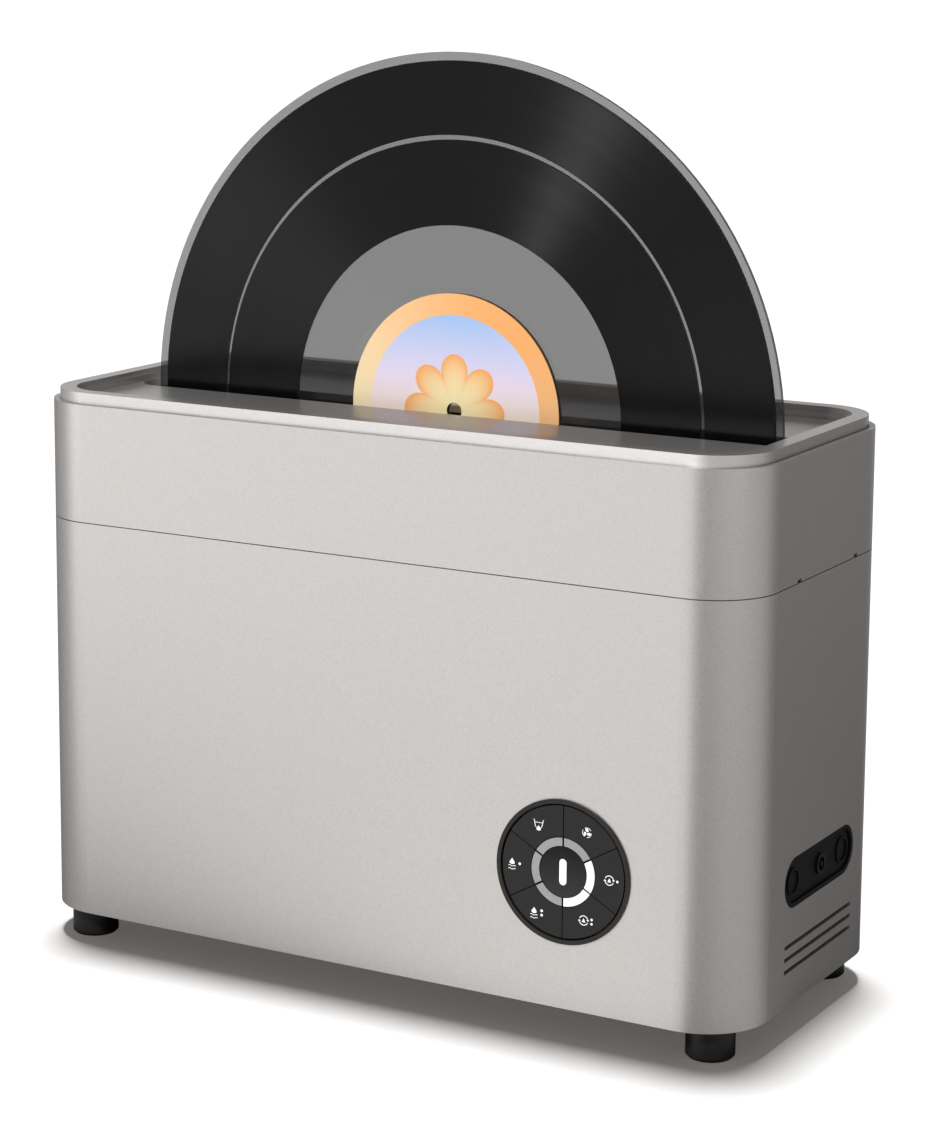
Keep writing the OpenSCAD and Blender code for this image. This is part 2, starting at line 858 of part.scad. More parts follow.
module bath() {
    wall_y = bath_w / 2;
    color([0.72, 0.73, 0.74]) difference() {
        union() {
            run_y(-bath_out, bath_out) bath_outline(bath_wall, bath_z);
            box([-flange_x, -bath_out - flange_w, bath_z - flange_t],
                [flange_x, bath_out + flange_w, bath_z]);
            for (s = [-1, 1]) rod_y(s * roller_x, roller_z, -boss_y, boss_y, bush_r + boss_wall);
            for (s = [-1, 1]) rod_y(roller_x + s * plate_post[0], pinion_z + plate_post[1],
                                    wall_y, plate_y, post_r);
            translate([0, 0, bath_low - drain_l]) cylinder(h = drain_l + bath_wall, r = port_out);
        }
        run_y(-wall_y, wall_y) bath_outline(0, bath_z + cut);
        for (s = [-1, 1]) rod_y(s * roller_x, roller_z, -boss_y - cut, boss_y + cut, bush_r);
        translate([0, 0, bath_low - drain_l - cut]) cylinder(h = drain_l + 2 * bath_wall + cut, r = port_r);
        rod_y(fill_x, fill_z, wall_y - cut, bath_out + cut, port_r);
        for (s = [0, 180]) rotate(s) for (k = [0:window_n - 1])
            translate([duct_end - duct_wall - (k + 1) * (duct_l - 2 * duct_wall) / window_n,
                       -bath_out - cut, duct_top - duct_h + duct_wall + 1])
                cube([window_w, bath_wall + 2 * cut, duct_h - 2 * duct_wall - 2]);
    }
}

module bath_gasket() {
    color([0.2, 0.2, 0.21]) translate([0, 0, bath_z]) linear_extrude(gasket_h) difference() {
        stadium(2 * flange_x, bath_w + 2 * gasket_w);
        stadium(2 * flange_x - 2 * gasket_w, bath_w);
    }
}

module edge_guides() {
    block_w = 16;
    top = bath_z - guide_drop;
    color([0.85, 0.85, 0.83]) difference() {
        intersection() {
            for (s = [-1, 1]) translate([s * record_r, 0, top - guide_h / 2])
                cube([2 * guide_in, block_w, guide_h], center = true);
            rod_y(0, record_z, -block_w, block_w, bath_r, $fn = fine);
        }
        rod_y(0, record_z, -face_y - guide_gap, face_y + guide_gap, record_r + 2 * guide_gap, $fn = fine);
    }
}

module transducers() {
    neck_r = piezo_r - 5;
    color([0.6, 0.6, 0.62]) for (a = [0, 180]) rotate(a) for (s = [-1, 1])
        translate([s * horn_x, -bath_out, bath_low + horn_rise]) rotate([90, 0, 0]) {
            cylinder(h = horn_l, r = horn_r);
            translate([0, 0, horn_l]) cylinder(h = piezo_l, r = piezo_r);
            translate([0, 0, horn_l + piezo_l]) cylinder(h = mass_l, r = piezo_r - 1);
            translate([0, 0, horn_l + piezo_l + mass_l]) cylinder(h = 2, r = neck_r / 2, $fn = 6);
        }
}

module record() {
    thin_y = face_y - groove_sink;
    label_rim = label_r + 2;
    rim_r = record_r - rim_w;
    color([0.09, 0.09, 0.09]) translate([0, 0, record_z]) rotate([90, 0, 0])
        rotate_extrude($fn = fine) polygon([
            [hole_r, -face_y], [label_rim, -face_y], [label_rim + 1, -thin_y], [rim_r - 1, -thin_y],
            [rim_r, -face_y], [record_r, -face_y], [record_r, face_y], [rim_r, face_y],
            [rim_r - 1, thin_y], [label_rim + 1, thin_y], [label_rim, face_y], [hole_r, face_y]]);
}

module record_label() {
    color([0.98, 0.75, 0.5]) for (y = [-face_y - label_t, face_y])
        ring_y(0, record_z, y, y + label_t, label_r, hole_r);
}

// Roller hub on its shaft, s is -1 for the left and 1 for the right
module roller_hub(s) {
    ring_y(s * roller_x, roller_z, -roller_w / 2, roller_w / 2, hub_r, shaft_r);
}

// Grooved tyre whose groove takes the record's edge
module roller_tyre(s) {
    floor_y = face_y + 0.2;
    mouth_y = roller_w / 2 - 1.2;
    translate([s * roller_x, 0, roller_z]) rotate([90, 0, 0]) rotate_extrude() polygon([
        [hub_r, -roller_w / 2], [flange_r, -roller_w / 2], [flange_r, -mouth_y],
        [groove_r, -floor_y], [groove_r, floor_y],
        [flange_r, mouth_y], [flange_r, roller_w / 2], [hub_r, roller_w / 2]]);
}

module drive_shaft() {
    color([0.75, 0.75, 0.77]) rod_y(roller_x, roller_z, -bush_y, gear_y + gear_w + 1, shaft_r);
}

module drive_roller() {
    color([0.9, 0.9, 0.88]) roller_hub(1);
}

module drive_tyre() {
    color([0.95, 0.45, 0.1]) roller_tyre(1);
}

module idler_shaft() {
    color([0.75, 0.75, 0.77]) rod_y(-roller_x, roller_z, -bush_y, bush_y, shaft_r);
}

module idler_roller() {
    color([0.9, 0.9, 0.88]) roller_hub(-1);
}

module idler_tyre() {
    color([0.95, 0.45, 0.1]) roller_tyre(-1);
}

module shaft_bushes() {
    sleeve = bath_out - bath_w / 2 + boss_l;
    color([0.8, 0.62, 0.3]) for (sx = [-1, 1]) for (a = [0, 180])
        translate([sx * roller_x, 0, roller_z]) rotate(a) {
            ring_y(0, 0, -boss_y, -boss_y + sleeve, bush_r, shaft_r + shaft_gap);
            ring_y(0, 0, -bush_y, -boss_y, bush_flange_r, shaft_r + shaft_gap);
        }
}

module shaft_seals() {
    seal_t = 1.8;
    wall_y = bath_w / 2;
    color([0.12, 0.12, 0.12]) for (sx = [-1, 1]) for (a = [0, 180])
        translate([sx * roller_x, 0, roller_z]) rotate(a)
            ring_y(0, 0, -wall_y, -wall_y + seal_t, bush_flange_r, shaft_r + shaft_gap);
}

// Outline of a gear with straight-flanked teeth, the first tooth on +X
module gear_outline(n) {
    pitch = 360 / n;
    tip_r = gear_m * (n / 2 + 1);
    root_r = gear_m * (n / 2 - 1.25);
    root = 0.28;
    tip = 0.12;
    corners = [[root_r, -root], [tip_r, -tip], [tip_r, tip], [root_r, root]];
    polygon([for (k = [0:n - 1]) for (c = corners)
        [c[0] * cos(pitch * (k + c[1])), c[0] * sin(pitch * (k + c[1]))]]);
}

module drive_gear() {
    color([0.92, 0.92, 0.9]) run_y(gear_y, gear_y + gear_w) translate([roller_x, roller_z])
        difference() {
            rotate(90) gear_outline(gear_n);
            circle(r = shaft_r);
        }
}

module motor_pinion() {
    turn = pinion_n % 2 == 0 ? 180 / pinion_n : 0;
    color([0.8, 0.65, 0.3]) {
        run_y(gear_y, gear_y + gear_w) translate([roller_x, pinion_z])
            rotate(90 + turn) gear_outline(pinion_n);
        rod_y(roller_x, pinion_z, gear_y + gear_w, motor_y + spindle_l, spindle_r);
    }
}

module drive_motor() {
    color([0.6, 0.6, 0.6]) difference() {
        union() {
            translate([roller_x - plate_w / 2, plate_y, pinion_z - plate_h / 2])
                cube([plate_w, plate_t, plate_h]);
            rod_y(roller_x, pinion_z, motor_y, motor_y + motor_l, motor_r);
        }
        rod_y(roller_x, pinion_z, plate_y - cut, motor_y + spindle_l + cut, spindle_r + shaft_gap);
    }
}

module water_tank() {
    x0 = tank_x - tank_w / 2;
    color([0.5, 0.55, 0.6, 0.5]) difference() {
        union() {
            difference() {
                box([x0, tank_y, tank_z], [x0 + tank_w, in_y, tank_top]);
                box([x0 + tank_wall, tank_y + tank_wall, tank_z + tank_wall],
                    [x0 + tank_w - tank_wall, in_y - tank_wall, tank_top - tank_wall]);
            }
            rod_y(tank_x, valve_z, tank_y, tank_y + valve_boss_l, valve_boss_r);
        }
        translate([tank_x, cap_y, tank_top - tank_wall - cut])
            cylinder(h = tank_wall + 2 * cut, r = filler_r);
        rod_y(tank_x, valve_z, tank_y - cut, tank_y + valve_boss_l + cut, valve_stem_r + shaft_gap);
        for (a = [45:90:315])
            rod_y(tank_x + port_ring * cos(a), valve_z + port_ring * sin(a),
                  tank_y - cut, tank_y + valve_boss_l + cut, 1);
        rod_y(return_x, drain_z, tank_y - cut, tank_y + tank_wall + cut, port_out + fit_gap);
    }
}

module tank_face() {
    grip_l = 56;
    grip_w = 15;
    grip_d = 2;
    half = bay_half - fit_gap;
    color([0.77, 0.76, 0.74]) difference() {
        box([tank_x - half, in_y, bay_z + fit_gap], [tank_x + half, back_y + bezel_rise, bay_top - fit_gap]);
        run_y(back_y + bezel_rise - grip_d, back_y + bezel_rise + cut)
            translate([tank_x, (bay_z + bay_top) / 2]) stadium(grip_l, grip_w);
    }
}

module tank_cap() {
    grip_w = 5;
    color([0.1, 0.1, 0.1]) translate([tank_x, cap_y, tank_top + slide_gap]) {
        difference() {
            cylinder(h = cap_h, r = cap_r);
            for (s = [-1, 1]) translate([s * (grip_w / 2 + cap_r), 0, cap_h])
                cube([2 * cap_r, 1.4 * cap_r, 2 * (cap_h - 1)], center = true);
        }
        translate([0, 0, -cap_plug]) cylinder(h = cap_plug, r = filler_r - cap_gap);
    }
}

module tank_valve() {
    head_y = tank_y + valve_boss_l + fit_gap;
    color([0.15, 0.15, 0.16]) {
        rod_y(tank_x, valve_z, tank_y + fit_gap, head_y, valve_stem_r);
        rod_y(tank_x, valve_z, head_y, head_y + valve_head_t, valve_head_r);
    }
}

module tank_filter() {
    back = tank_y + tank_wall;
    color([0.9, 0.9, 0.86]) difference() {
        rod_y(return_x, drain_z, back, back + filter_l, filter_r);
        rod_y(return_x, drain_z, back - cut, back + filter_l - filter_wall, filter_r - filter_wall);
    }
}

module tank_bay() {
    x0 = tank_x - bay_half;
    x1 = tank_x + bay_half;
    color([0.2, 0.2, 0.21]) difference() {
        union() {
            difference() {
                box([x0 - bay_wall, bay_y - bay_wall, bay_z - bay_wall],
                    [x1 + bay_wall, in_y, bay_top + bay_wall]);
                box([x0, bay_y, bay_z], [x1, in_y + cut, bay_top]);
            }
            for (s = [-1, 1]) translate([tank_x + s * leg_x, 0, 0])
                box([-rail_w / 2, bay_y, bay_z], [rail_w / 2, in_y, tank_z - slide_gap]);
            rod_y(tank_x, valve_z, bay_y - bay_wall, tank_y - fit_gap, valve_stem_r - fit_gap);
            rod_y(return_x, drain_z, bay_y - bay_wall, tank_y + tank_wall - fit_gap, port_out);
        }
        rod_y(return_x, drain_z, bay_y - bay_wall - cut, tank_y + tank_wall + cut, port_r);
        run_x(x1 - cut, x1 + bay_wall + cut) translate([pump_y, inlet_z]) circle(r = port_r);
    }
}

module pump_body() {
    color([0.16, 0.16, 0.17]) difference() {
        union() {
            translate([pump_x, pump_y, pump_z]) cylinder(h = pump_h, r = pump_r);
            run_x(bay_end, pump_x - pump_r + pump_wall) translate([pump_y, inlet_z]) circle(r = port_out);
            rod_y(pump_x, inlet_z, fill_y + bend_r, pump_y - pump_r + pump_wall, port_out);
        }
        translate([pump_x, pump_y, pump_z + pump_wall])
            cylinder(h = pump_h - 2 * pump_wall, r = pump_r - pump_wall);
        translate([pump_x, pump_y, pump_z + pump_wall]) cylinder(h = pump_h, r = spindle_r + shaft_gap);
        run_x(bay_end - cut, pump_x - pump_r + 2 * pump_wall) translate([pump_y, inlet_z]) circle(r = port_r);
        rod_y(pump_x, inlet_z, fill_y + bend_r - cut, pump_y - pump_r + 2 * pump_wall, port_r);
    }
}

module pump_motor() {
    color([0.6, 0.6, 0.62]) translate([pump_x, pump_y, pump_z + pump_h]) difference() {
        cylinder(h = pump_motor_l, r = pump_motor_r);
        translate([0, 0, -cut]) cylinder(h = spindle_l + 2 * cut, r = spindle_r + shaft_gap);
    }
}

module pump_impeller() {
    disc_t = 2;
    vane_n = 6;
    vane_h = 5;
    vane_t = 1.2;
    low = pump_z + pump_wall + 1;
    color([0.85, 0.85, 0.85]) translate([pump_x, pump_y, low]) {
        cylinder(h = disc_t, r = impeller_r);
        for (k = [0:vane_n - 1]) rotate(360 / vane_n * k) translate([0, -vane_t / 2, 0])
            cube([impeller_r - 0.5, vane_t, disc_t + vane_h]);
        cylinder(h = pump_z + pump_h + spindle_l - low, r = spindle_r);
    }
}

// Quarter bend in the YZ plane, from facing -Y round to facing +Z
module bend(r) {
    rotate([90, 0, 90]) rotate_extrude(angle = 90) translate([bend_r, 0]) circle(r = r);
}

module fill_hose() {
    color([0.75, 0.78, 0.8]) {
        translate([fill_x, fill_y + bend_r, inlet_z + bend_r]) rotate([180, 0, 0]) bend(port_out);
        translate([fill_x, fill_y, inlet_z + bend_r])
            cylinder(h = fill_z - inlet_z - 2 * bend_r, r = port_out);
        translate([fill_x, fill_y - bend_r, fill_z - bend_r]) bend(port_out);
    }
}

module drain_hose() {
    color([0.75, 0.78, 0.8]) {
        ring_z(port_out, port_r, valve_top, bath_low - drain_l);
        ring_y(return_x, drain_z, valve_w / 2, bay_y - bay_wall, port_out, port_r);
    }
}

module drain_valve() {
    block = valve_w / 2;
    color([0.17, 0.17, 0.18]) difference() {
        union() {
            translate([0, 0, drain_z]) cube(valve_w, center = true);
            rod_y(0, drain_z, -block - coil_l, -block, coil_r);
        }
        translate([0, 0, drain_z]) cylinder(h = valve_w, r = port_r);
        rod_y(0, drain_z, 0, valve_w, port_r);
        rod_y(0, drain_z, -block - coil_l - cut, plunger_seat, plunger_r + plunger_gap);
    }
}

module valve_plunger() {
    back = valve_w / 2 + coil_l;
    color([0.7, 0.7, 0.72]) rod_y(0, drain_z, -back - 2, plunger_seat - fit_gap, plunger_r);
}

// Blower housing at the origin, its outlet facing -Y
module blower_case() {
    half = blower_w / 2;
    inlet_r = wheel_r - 5;
    difference() {
        box([-half, -half, 0], [half, half, blower_h]);
        translate([0, 0, blower_wall]) cylinder(h = blower_h - 2 * blower_wall, r = wheel_r + 2);
        translate([0, 0, blower_h - 2 * blower_wall]) cylinder(h = 3 * blower_wall, r = inlet_r);
        box([duct_shift - duct_w / 2 + duct_wall, -half - cut, blower_wall],
            [duct_shift + duct_w / 2 - duct_wall, 0, blower_h - blower_wall]);
    }
    cylinder(h = blower_h / 2, r = spindle_r);
}

module blower_housings() {
    color([0.12, 0.12, 0.12]) for (a = [0, 180]) rotate(a)
        translate([blower_x, blower_y, blower_z]) blower_case();
}

// Blower wheel at the origin of its housing
module blower_wheel() {
    low = blower_wall + 1;
    disc_t = 1;
    ring_in = wheel_r - 5;
    difference() {
        union() {
            translate([0, 0, low]) cylinder(h = disc_t, r = wheel_r);
            translate([0, 0, low]) cylinder(h = 5, r = 5);
            for (k = [0:blade_n - 1]) rotate(360 / blade_n * k)
                translate([ring_in, -blade_t / 2, low]) cube([4, blade_t, blower_h - 2 * low]);
        }
        cylinder(h = blower_h, r = spindle_r + shaft_gap);
    }
}

module blower_wheel_right() {
    color([0.2, 0.2, 0.2]) translate([blower_x, blower_y, blower_z]) blower_wheel();
}

module blower_wheel_left() {
    color([0.2, 0.2, 0.2]) rotate(180) translate([blower_x, blower_y, blower_z]) blower_wheel();
}

// Stacked boxes of one duct, drawn in by w, open at both ends by reach
module duct_boxes(w, reach) {
    x0 = duct_mid - duct_w / 2 + w;
    x1 = duct_end - w;
    mouth_y = blower_y - blower_w / 2;
    box([x0, duct_y + w, blower_z + w], [x1, mouth_y + reach, blower_z + blower_h - w]);
    box([x0, duct_y + w, blower_z + w], [x1, duct_y + duct_d - w, duct_top - w]);
    box([duct_end - duct_l + w, duct_y + w, duct_top - duct_h + w], [x1, -bath_out + reach, duct_top - w]);
}

module air_ducts() {
    color([0.2, 0.2, 0.21]) for (a = [0, 180]) rotate(a) difference() {
        duct_boxes(0, 0);
        duct_boxes(duct_wall, cut);
    }
}

module driver_board() {
    color([0.06, 0.25, 0.14])
        translate([board_x - board_w / 2, driver_y, driver_z]) cube([board_w, board_t, board_h]);
}

module board_parts() {
    face = driver_y + board_t;
    left = board_x - board_w / 2;
    sink_at = [left + sink_in, face, driver_z + sink_up];
    fin_t = 1.2;
    fin_step = (sink_w - fin_t) / (fin_n - 1);
    color([0.3, 0.3, 0.32]) {
        translate(sink_at) cube([sink_w, sink_base, sink_h]);
        for (k = [0:fin_n - 1]) translate(sink_at + [k * fin_step, 0, 0]) cube([fin_t, sink_d, sink_h]);
        for (k = [0, 1])
            rod_y(board_x + can_r + can_step * k, driver_z + can_up, face, face + can_l, can_r);
        translate([left + choke_in, face, driver_z + choke_up]) cube([choke_w, choke_d, choke_h]);
        translate([board_x + relay_in, face, driver_z + relay_up]) cube([relay_w, relay_d, relay_h]);
    }
}

upper_housing();
lower_housing();
deck_tray();
base_plate();
feet();
foot_screws();
case_screws();
side_cover();
supply_socket();
bezel();
key_auto_short();
key_dry();
key_drain();
key_wash_short();
key_wash_long();
key_auto_long();
power_key();
power_light();
lights_on();
lights_off();
panel_carrier();
panel_board();
panel_switches();
bath();
bath_gasket();
edge_guides();
transducers();
record();
record_label();
drive_shaft();
drive_roller();
drive_tyre();
drive_gear();
idler_shaft();
idler_roller();
idler_tyre();
shaft_bushes();
shaft_seals();
motor_pinion();
drive_motor();
water_tank();
tank_face();
tank_cap();
tank_valve();
tank_filter();
tank_bay();
pump_body();
pump_motor();
pump_impeller();
fill_hose();
drain_hose();
drain_valve();
valve_plunger();
blower_housings();
blower_wheel_right();
blower_wheel_left();
air_ducts();
driver_board();
board_parts();
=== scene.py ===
import math

import bmesh
import bpy
from mathutils import Matrix, Vector


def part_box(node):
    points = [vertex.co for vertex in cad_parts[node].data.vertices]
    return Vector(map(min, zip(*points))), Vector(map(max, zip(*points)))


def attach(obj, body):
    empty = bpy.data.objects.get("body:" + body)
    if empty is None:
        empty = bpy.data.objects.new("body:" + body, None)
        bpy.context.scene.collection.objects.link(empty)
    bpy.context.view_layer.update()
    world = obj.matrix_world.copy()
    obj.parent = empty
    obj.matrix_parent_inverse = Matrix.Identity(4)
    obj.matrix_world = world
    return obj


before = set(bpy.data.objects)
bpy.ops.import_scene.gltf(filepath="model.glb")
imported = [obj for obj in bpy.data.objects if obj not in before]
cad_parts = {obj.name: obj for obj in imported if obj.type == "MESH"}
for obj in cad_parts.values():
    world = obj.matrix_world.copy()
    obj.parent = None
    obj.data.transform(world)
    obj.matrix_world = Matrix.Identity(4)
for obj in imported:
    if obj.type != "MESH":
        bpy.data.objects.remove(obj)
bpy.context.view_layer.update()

# Base plate and its case screws. A folded black steel sheet closes the underside,
# powder coated on both faces. Five zinc plated screws hold the case to it from below.


def finish(name, colour, roughness, metallic=0.0, more=()):
    """A new material with its Principled shader and the values that are the same all over it."""
    mat = bpy.data.materials.new(name)
    mat.use_nodes = True
    shader = mat.node_tree.nodes["Principled BSDF"]
    shader.inputs["Base Color"].default_value = (*colour, 1)
    shader.inputs["Roughness"].default_value = roughness
    shader.inputs["Metallic"].default_value = metallic
    for label, value in dict(more).items():
        shader.inputs[label].default_value = value
    return mat


def place(mat, kind, values=(), links=()):
    """Adds one node to a material or a group, sets its values and links its inputs."""
    tree = getattr(mat, "node_tree", mat)
    node = tree.nodes.new(kind)
    for key, value in dict(values).items():
        if key in node.inputs and not hasattr(node, key):
            node.inputs[key].default_value = value
        else:
            setattr(node, key, value)
    for key, source in dict(links).items():
        tree.links.new(source, node.inputs[key])
    return node


def math_node(tree, operation, a, b=0.0, clamp=False):
    """One Math node on two inputs, each a number or another node's output."""
    node = place(tree, "ShaderNodeMath", {"operation": operation, "use_clamp": clamp})
    for socket, value in zip(node.inputs, (a, b)):
        if isinstance(value, (int, float)):
            socket.default_value = value
        else:
            getattr(tree, "node_tree", tree).links.new(value, socket)
    return node.outputs[0]


def in_shares(tree, *rows):
    """Adds up some outputs, each times its own share."""
    parts = [math_node(tree, "MULTIPLY", source, share) for source, share in rows]
    total = parts[0]
    for part in parts[1:]:
        total = math_node(tree, "ADD", total, part)
    return total


def vary(tree, base, tone, spread):
    """Moves a base value up and down by a spread, as a tone leaves its middle."""
    off = math_node(tree, "SUBTRACT", tone, 0.5)
    return math_node(tree, "ADD", base, math_node(tree, "MULTIPLY", off, spread))


def effect(name, inputs, outputs):
    """An empty shader group with named inputs and outputs, and its object coordinates."""
    group = bpy.data.node_groups.new(name, "ShaderNodeTree")
    for label, value in inputs.items():
        kind = "NodeSocketColor" if isinstance(value, tuple) else "NodeSocketFloat"
        socket = group.interface.new_socket(label, in_out="INPUT", socket_type=kind)
        socket.default_value = (*value, 1) if isinstance(value, tuple) else value
    for label in outputs:
        kind = "NodeSocketColor" if label == "Colour" else "NodeSocketFloat"
        group.interface.new_socket(label, in_out="OUTPUT", socket_type=kind)
    start = group.nodes.new("NodeGroupInput").outputs
    end = group.nodes.new("NodeGroupOutput").inputs
    where = group.nodes.new("ShaderNodeTexCoord").outputs["Object"]
    return group, start, end, where


def between(group, factor, low, high):
    """Mixes two colours or values of a group by a factor."""
    node = place(group, "ShaderNodeMix", {"data_type": "RGBA"})
    group.links.new(factor, node.inputs["Factor"])
    group.links.new(low, node.inputs["A"])
    group.links.new(high, node.inputs["B"])
    return node.outputs["Result"]


def use(mat, group, values, bump=0.0, distance=0.0001, extra=()):
    """Places an effect in a material and joins its outputs to the shader's inputs."""
    tree = mat.node_tree
    shader = tree.nodes["Principled BSDF"]
    node = tree.nodes.new("ShaderNodeGroup")
    node.node_tree = group
    for label, value in values.items():
        node.inputs[label].default_value = (*value, 1) if isinstance(value, tuple) else value
    ports = {"Colour": "Base Color", "Roughness": "Roughness", "Metallic": "Metallic", **dict(extra)}
    for output in node.outputs:
        if output.name in ports:
            tree.links.new(output, shader.inputs[ports[output.name]])
    if bump and "Height" in node.outputs:
        bumps = place(mat, "ShaderNodeBump", {"Strength": bump, "Distance": distance},
                      {"Height": node.outputs["Height"]})
        tree.links.new(bumps.outputs["Normal"], shader.inputs["Normal"])
    return node


def dress(mat, *names):
    """Gives a finish to CAD nodes through their objects' material slots."""
    for name in names:
        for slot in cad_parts[name].material_slots:
            slot.material = mat


# Moulded or powdered skin: a fine grain with broad, faint wear that polishes it
skin, start, end, where = effect(
    "moulded_skin",
    {"Colour A": (0.02, 0.02, 0.02), "Colour B": (0.03, 0.03, 0.03), "Grain": 0.0006,
     "Roughness": 0.5, "Spread": 0.1},
    ("Colour", "Roughness", "Height"))
fine = place(skin, "ShaderNodeTexNoise", {"Detail": 2.0, "Roughness": 0.6},
             {"Vector": where, "Scale": math_node(skin, "DIVIDE", 1.0, start["Grain"])})
broad = place(skin, "ShaderNodeTexNoise", {"Scale": 38.0, "Detail": 4.0, "Roughness": 0.62},
              {"Vector": where})
mottle = in_shares(skin, (fine.outputs["Fac"], 0.45), (broad.outputs["Fac"], 0.55))
skin.links.new(between(skin, mottle, start["Colour A"], start["Colour B"]), end["Colour"])
both_ways = math_node(skin, "MULTIPLY", start["Spread"], 2.0)
skin.links.new(vary(skin, start["Roughness"], mottle, both_ways), end["Roughness"])
skin.links.new(fine.outputs["Fac"], end["Height"])

plate_black = finish("plate_black", (0.03, 0.03, 0.032), 0.5)
use(plate_black, skin, {"Colour A": (0.022, 0.022, 0.024), "Colour B": (0.045, 0.045, 0.047),
                        "Grain": 0.0009, "Roughness": 0.5}, bump=0.35)
dress(plate_black, "base_plate")


def vector_node(tree, operation, a, b=None):
    """One Vector Math node on an output and on a fixed vector or another output."""
    node = place(tree, "ShaderNodeVectorMath", {"operation": operation})
    links = getattr(tree, "node_tree", tree).links
    links.new(a, node.inputs[0])
    if isinstance(b, tuple):
        node.inputs[1].default_value = b
    elif b is not None:
        links.new(b, node.inputs[1])
    return node.outputs["Value" if operation == "LENGTH" else "Vector"]


# Turned or drawn metal: fine lines round the piece's own make, with a faint stain
drawn, start, end, where = effect(
    "drawn_metal",
    {"Colour A": (0.5, 0.5, 0.5), "Colour B": (0.65, 0.65, 0.65), "Across": 3000.0, "Along": 120.0,
     "Roughness": 0.3, "Spread": 0.12},
    ("Colour", "Roughness", "Height"))
stretch = place(drawn, "ShaderNodeCombineXYZ", (),
                {"X": start["Along"], "Y": start["Across"], "Z": start["Across"]})
lines = vector_node(drawn, "MULTIPLY", where, stretch.outputs[0])
scratch = place(drawn, "ShaderNodeTexNoise", {"Scale": 1.0, "Detail": 3.0, "Roughness": 0.7},
                {"Vector": lines})
stain = place(drawn, "ShaderNodeTexNoise", {"Scale": 60.0, "Detail": 5.0}, {"Vector": where})
tone = in_shares(drawn, (scratch.outputs["Fac"], 0.6), (stain.outputs["Fac"], 0.4))
drawn.links.new(between(drawn, tone, start["Colour A"], start["Colour B"]), end["Colour"])
drawn.links.new(vary(drawn, start["Roughness"], tone, start["Spread"]), end["Roughness"])
drawn.links.new(scratch.outputs["Fac"], end["Height"])

zinc = finish("zinc_plate", (0.6, 0.6, 0.6), 0.32, 1.0)
use(zinc, drawn, {"Colour A": (0.5, 0.5, 0.49), "Colour B": (0.68, 0.68, 0.66)}, bump=0.15,
    distance=0.00002)
dress(zinc, "case_screws", "foot_screws")

# Feet. Four turned rubber feet, satin black, each with a chamfered tread and its own
# recessed screw and nut through the base plate.
foot_rubber = finish("foot_rubber", (0.02, 0.02, 0.02), 0.42, more={"Specular IOR Level": 0.6})
use(foot_rubber, skin, {"Colour A": (0.009, 0.009, 0.009), "Colour B": (0.02, 0.02, 0.02),
                        "Grain": 0.0005, "Roughness": 0.4, "Spread": 0.14}, bump=0.2)
dress(foot_rubber, "feet")

# Upper and lower housings and the tank's face. Deep drawn shells with large upright
# corners, sprayed in a warm light grey metallic paint whose fine flakes catch the light.
flake, start, end, where = effect(
    "metallic_flake",
    {"Colour A": (0.5, 0.49, 0.47), "Colour B": (0.7, 0.69, 0.67), "Flake": 0.0008,
     "Roughness": 0.4, "Spread": 0.2},
    ("Colour", "Roughness", "Height"))
size = math_node(flake, "DIVIDE", 1.0, start["Flake"])
grains = place(flake, "ShaderNodeTexNoise", {"Detail": 1.5, "Roughness": 0.8},
               {"Vector": where, "Scale": size})
cells = place(flake, "ShaderNodeTexVoronoi", {"feature": "F1"},
              {"Vector": where, "Scale": math_node(flake, "MULTIPLY", size, 1.6)})
cloud = place(flake, "ShaderNodeTexNoise", {"Scale": 14.0, "Detail": 3.0}, {"Vector": where})
split = place(flake, "ShaderNodeSeparateColor", (), {"Color": cells.outputs["Color"]})
tone = in_shares(flake, (grains.outputs["Fac"], 0.62), (split.outputs["Red"], 0.3),
                 (cloud.outputs["Fac"], 0.08))
flake.links.new(between(flake, tone, start["Colour A"], start["Colour B"]), end["Colour"])
flake.links.new(vary(flake, start["Roughness"], tone, start["Spread"]), end["Roughness"])
flake.links.new(grains.outputs["Fac"], end["Height"])

PAINT, PAINT_ROUGH, PAINT_METAL = (0.6, 0.58, 0.57), 0.36, 0.75
case_paint = finish("case_paint", PAINT, PAINT_ROUGH, PAINT_METAL,
                    {"Specular Tint": (0.3, 0.3, 0.3, 1)})
use(case_paint, flake, {"Colour A": (0.54, 0.524, 0.513), "Colour B": (0.72, 0.698, 0.683),
                        "Flake": 0.0009, "Roughness": PAINT_ROUGH, "Spread": 0.14}, bump=0.25,
    distance=0.00004)
dress(case_paint, "upper_housing", "lower_housing", "tank_face")

# Deck tray. A drawn tray in the same paint, with a raised lip round it and the long
# slot with round ends for the record. It drops onto the ledge in the upper housing, and
# the paint dries smoother on its level faces than on its walls.
LEVEL_FROM, LEVEL_ROUGH, LEVEL_METAL = 0.7, 0.05, 0.08
deck_paint = finish("deck_paint", PAINT, PAINT_ROUGH, PAINT_METAL,
                    {"Specular Tint": (0.42, 0.42, 0.42, 1)})
coat = use(deck_paint, flake, {"Colour A": (0.56, 0.544, 0.532), "Colour B": (0.69, 0.67, 0.655),
                               "Flake": 0.0009, "Roughness": PAINT_ROUGH, "Spread": 0.06},
           bump=0.2, distance=0.00001)
faces_up = place(deck_paint, "ShaderNodeSeparateXYZ", (),
                 {"Vector": place(deck_paint, "ShaderNodeTexCoord").outputs["Normal"]})
level = math_node(deck_paint, "GREATER_THAN", faces_up.outputs["Z"], LEVEL_FROM)
tray_links, tray_shader = deck_paint.node_tree.links, deck_paint.node_tree.nodes["Principled BSDF"]
smoother = math_node(deck_paint, "MULTIPLY", level, LEVEL_ROUGH)
tray_links.new(math_node(deck_paint, "SUBTRACT", coat.outputs["Roughness"], smoother),
               tray_shader.inputs["Roughness"])
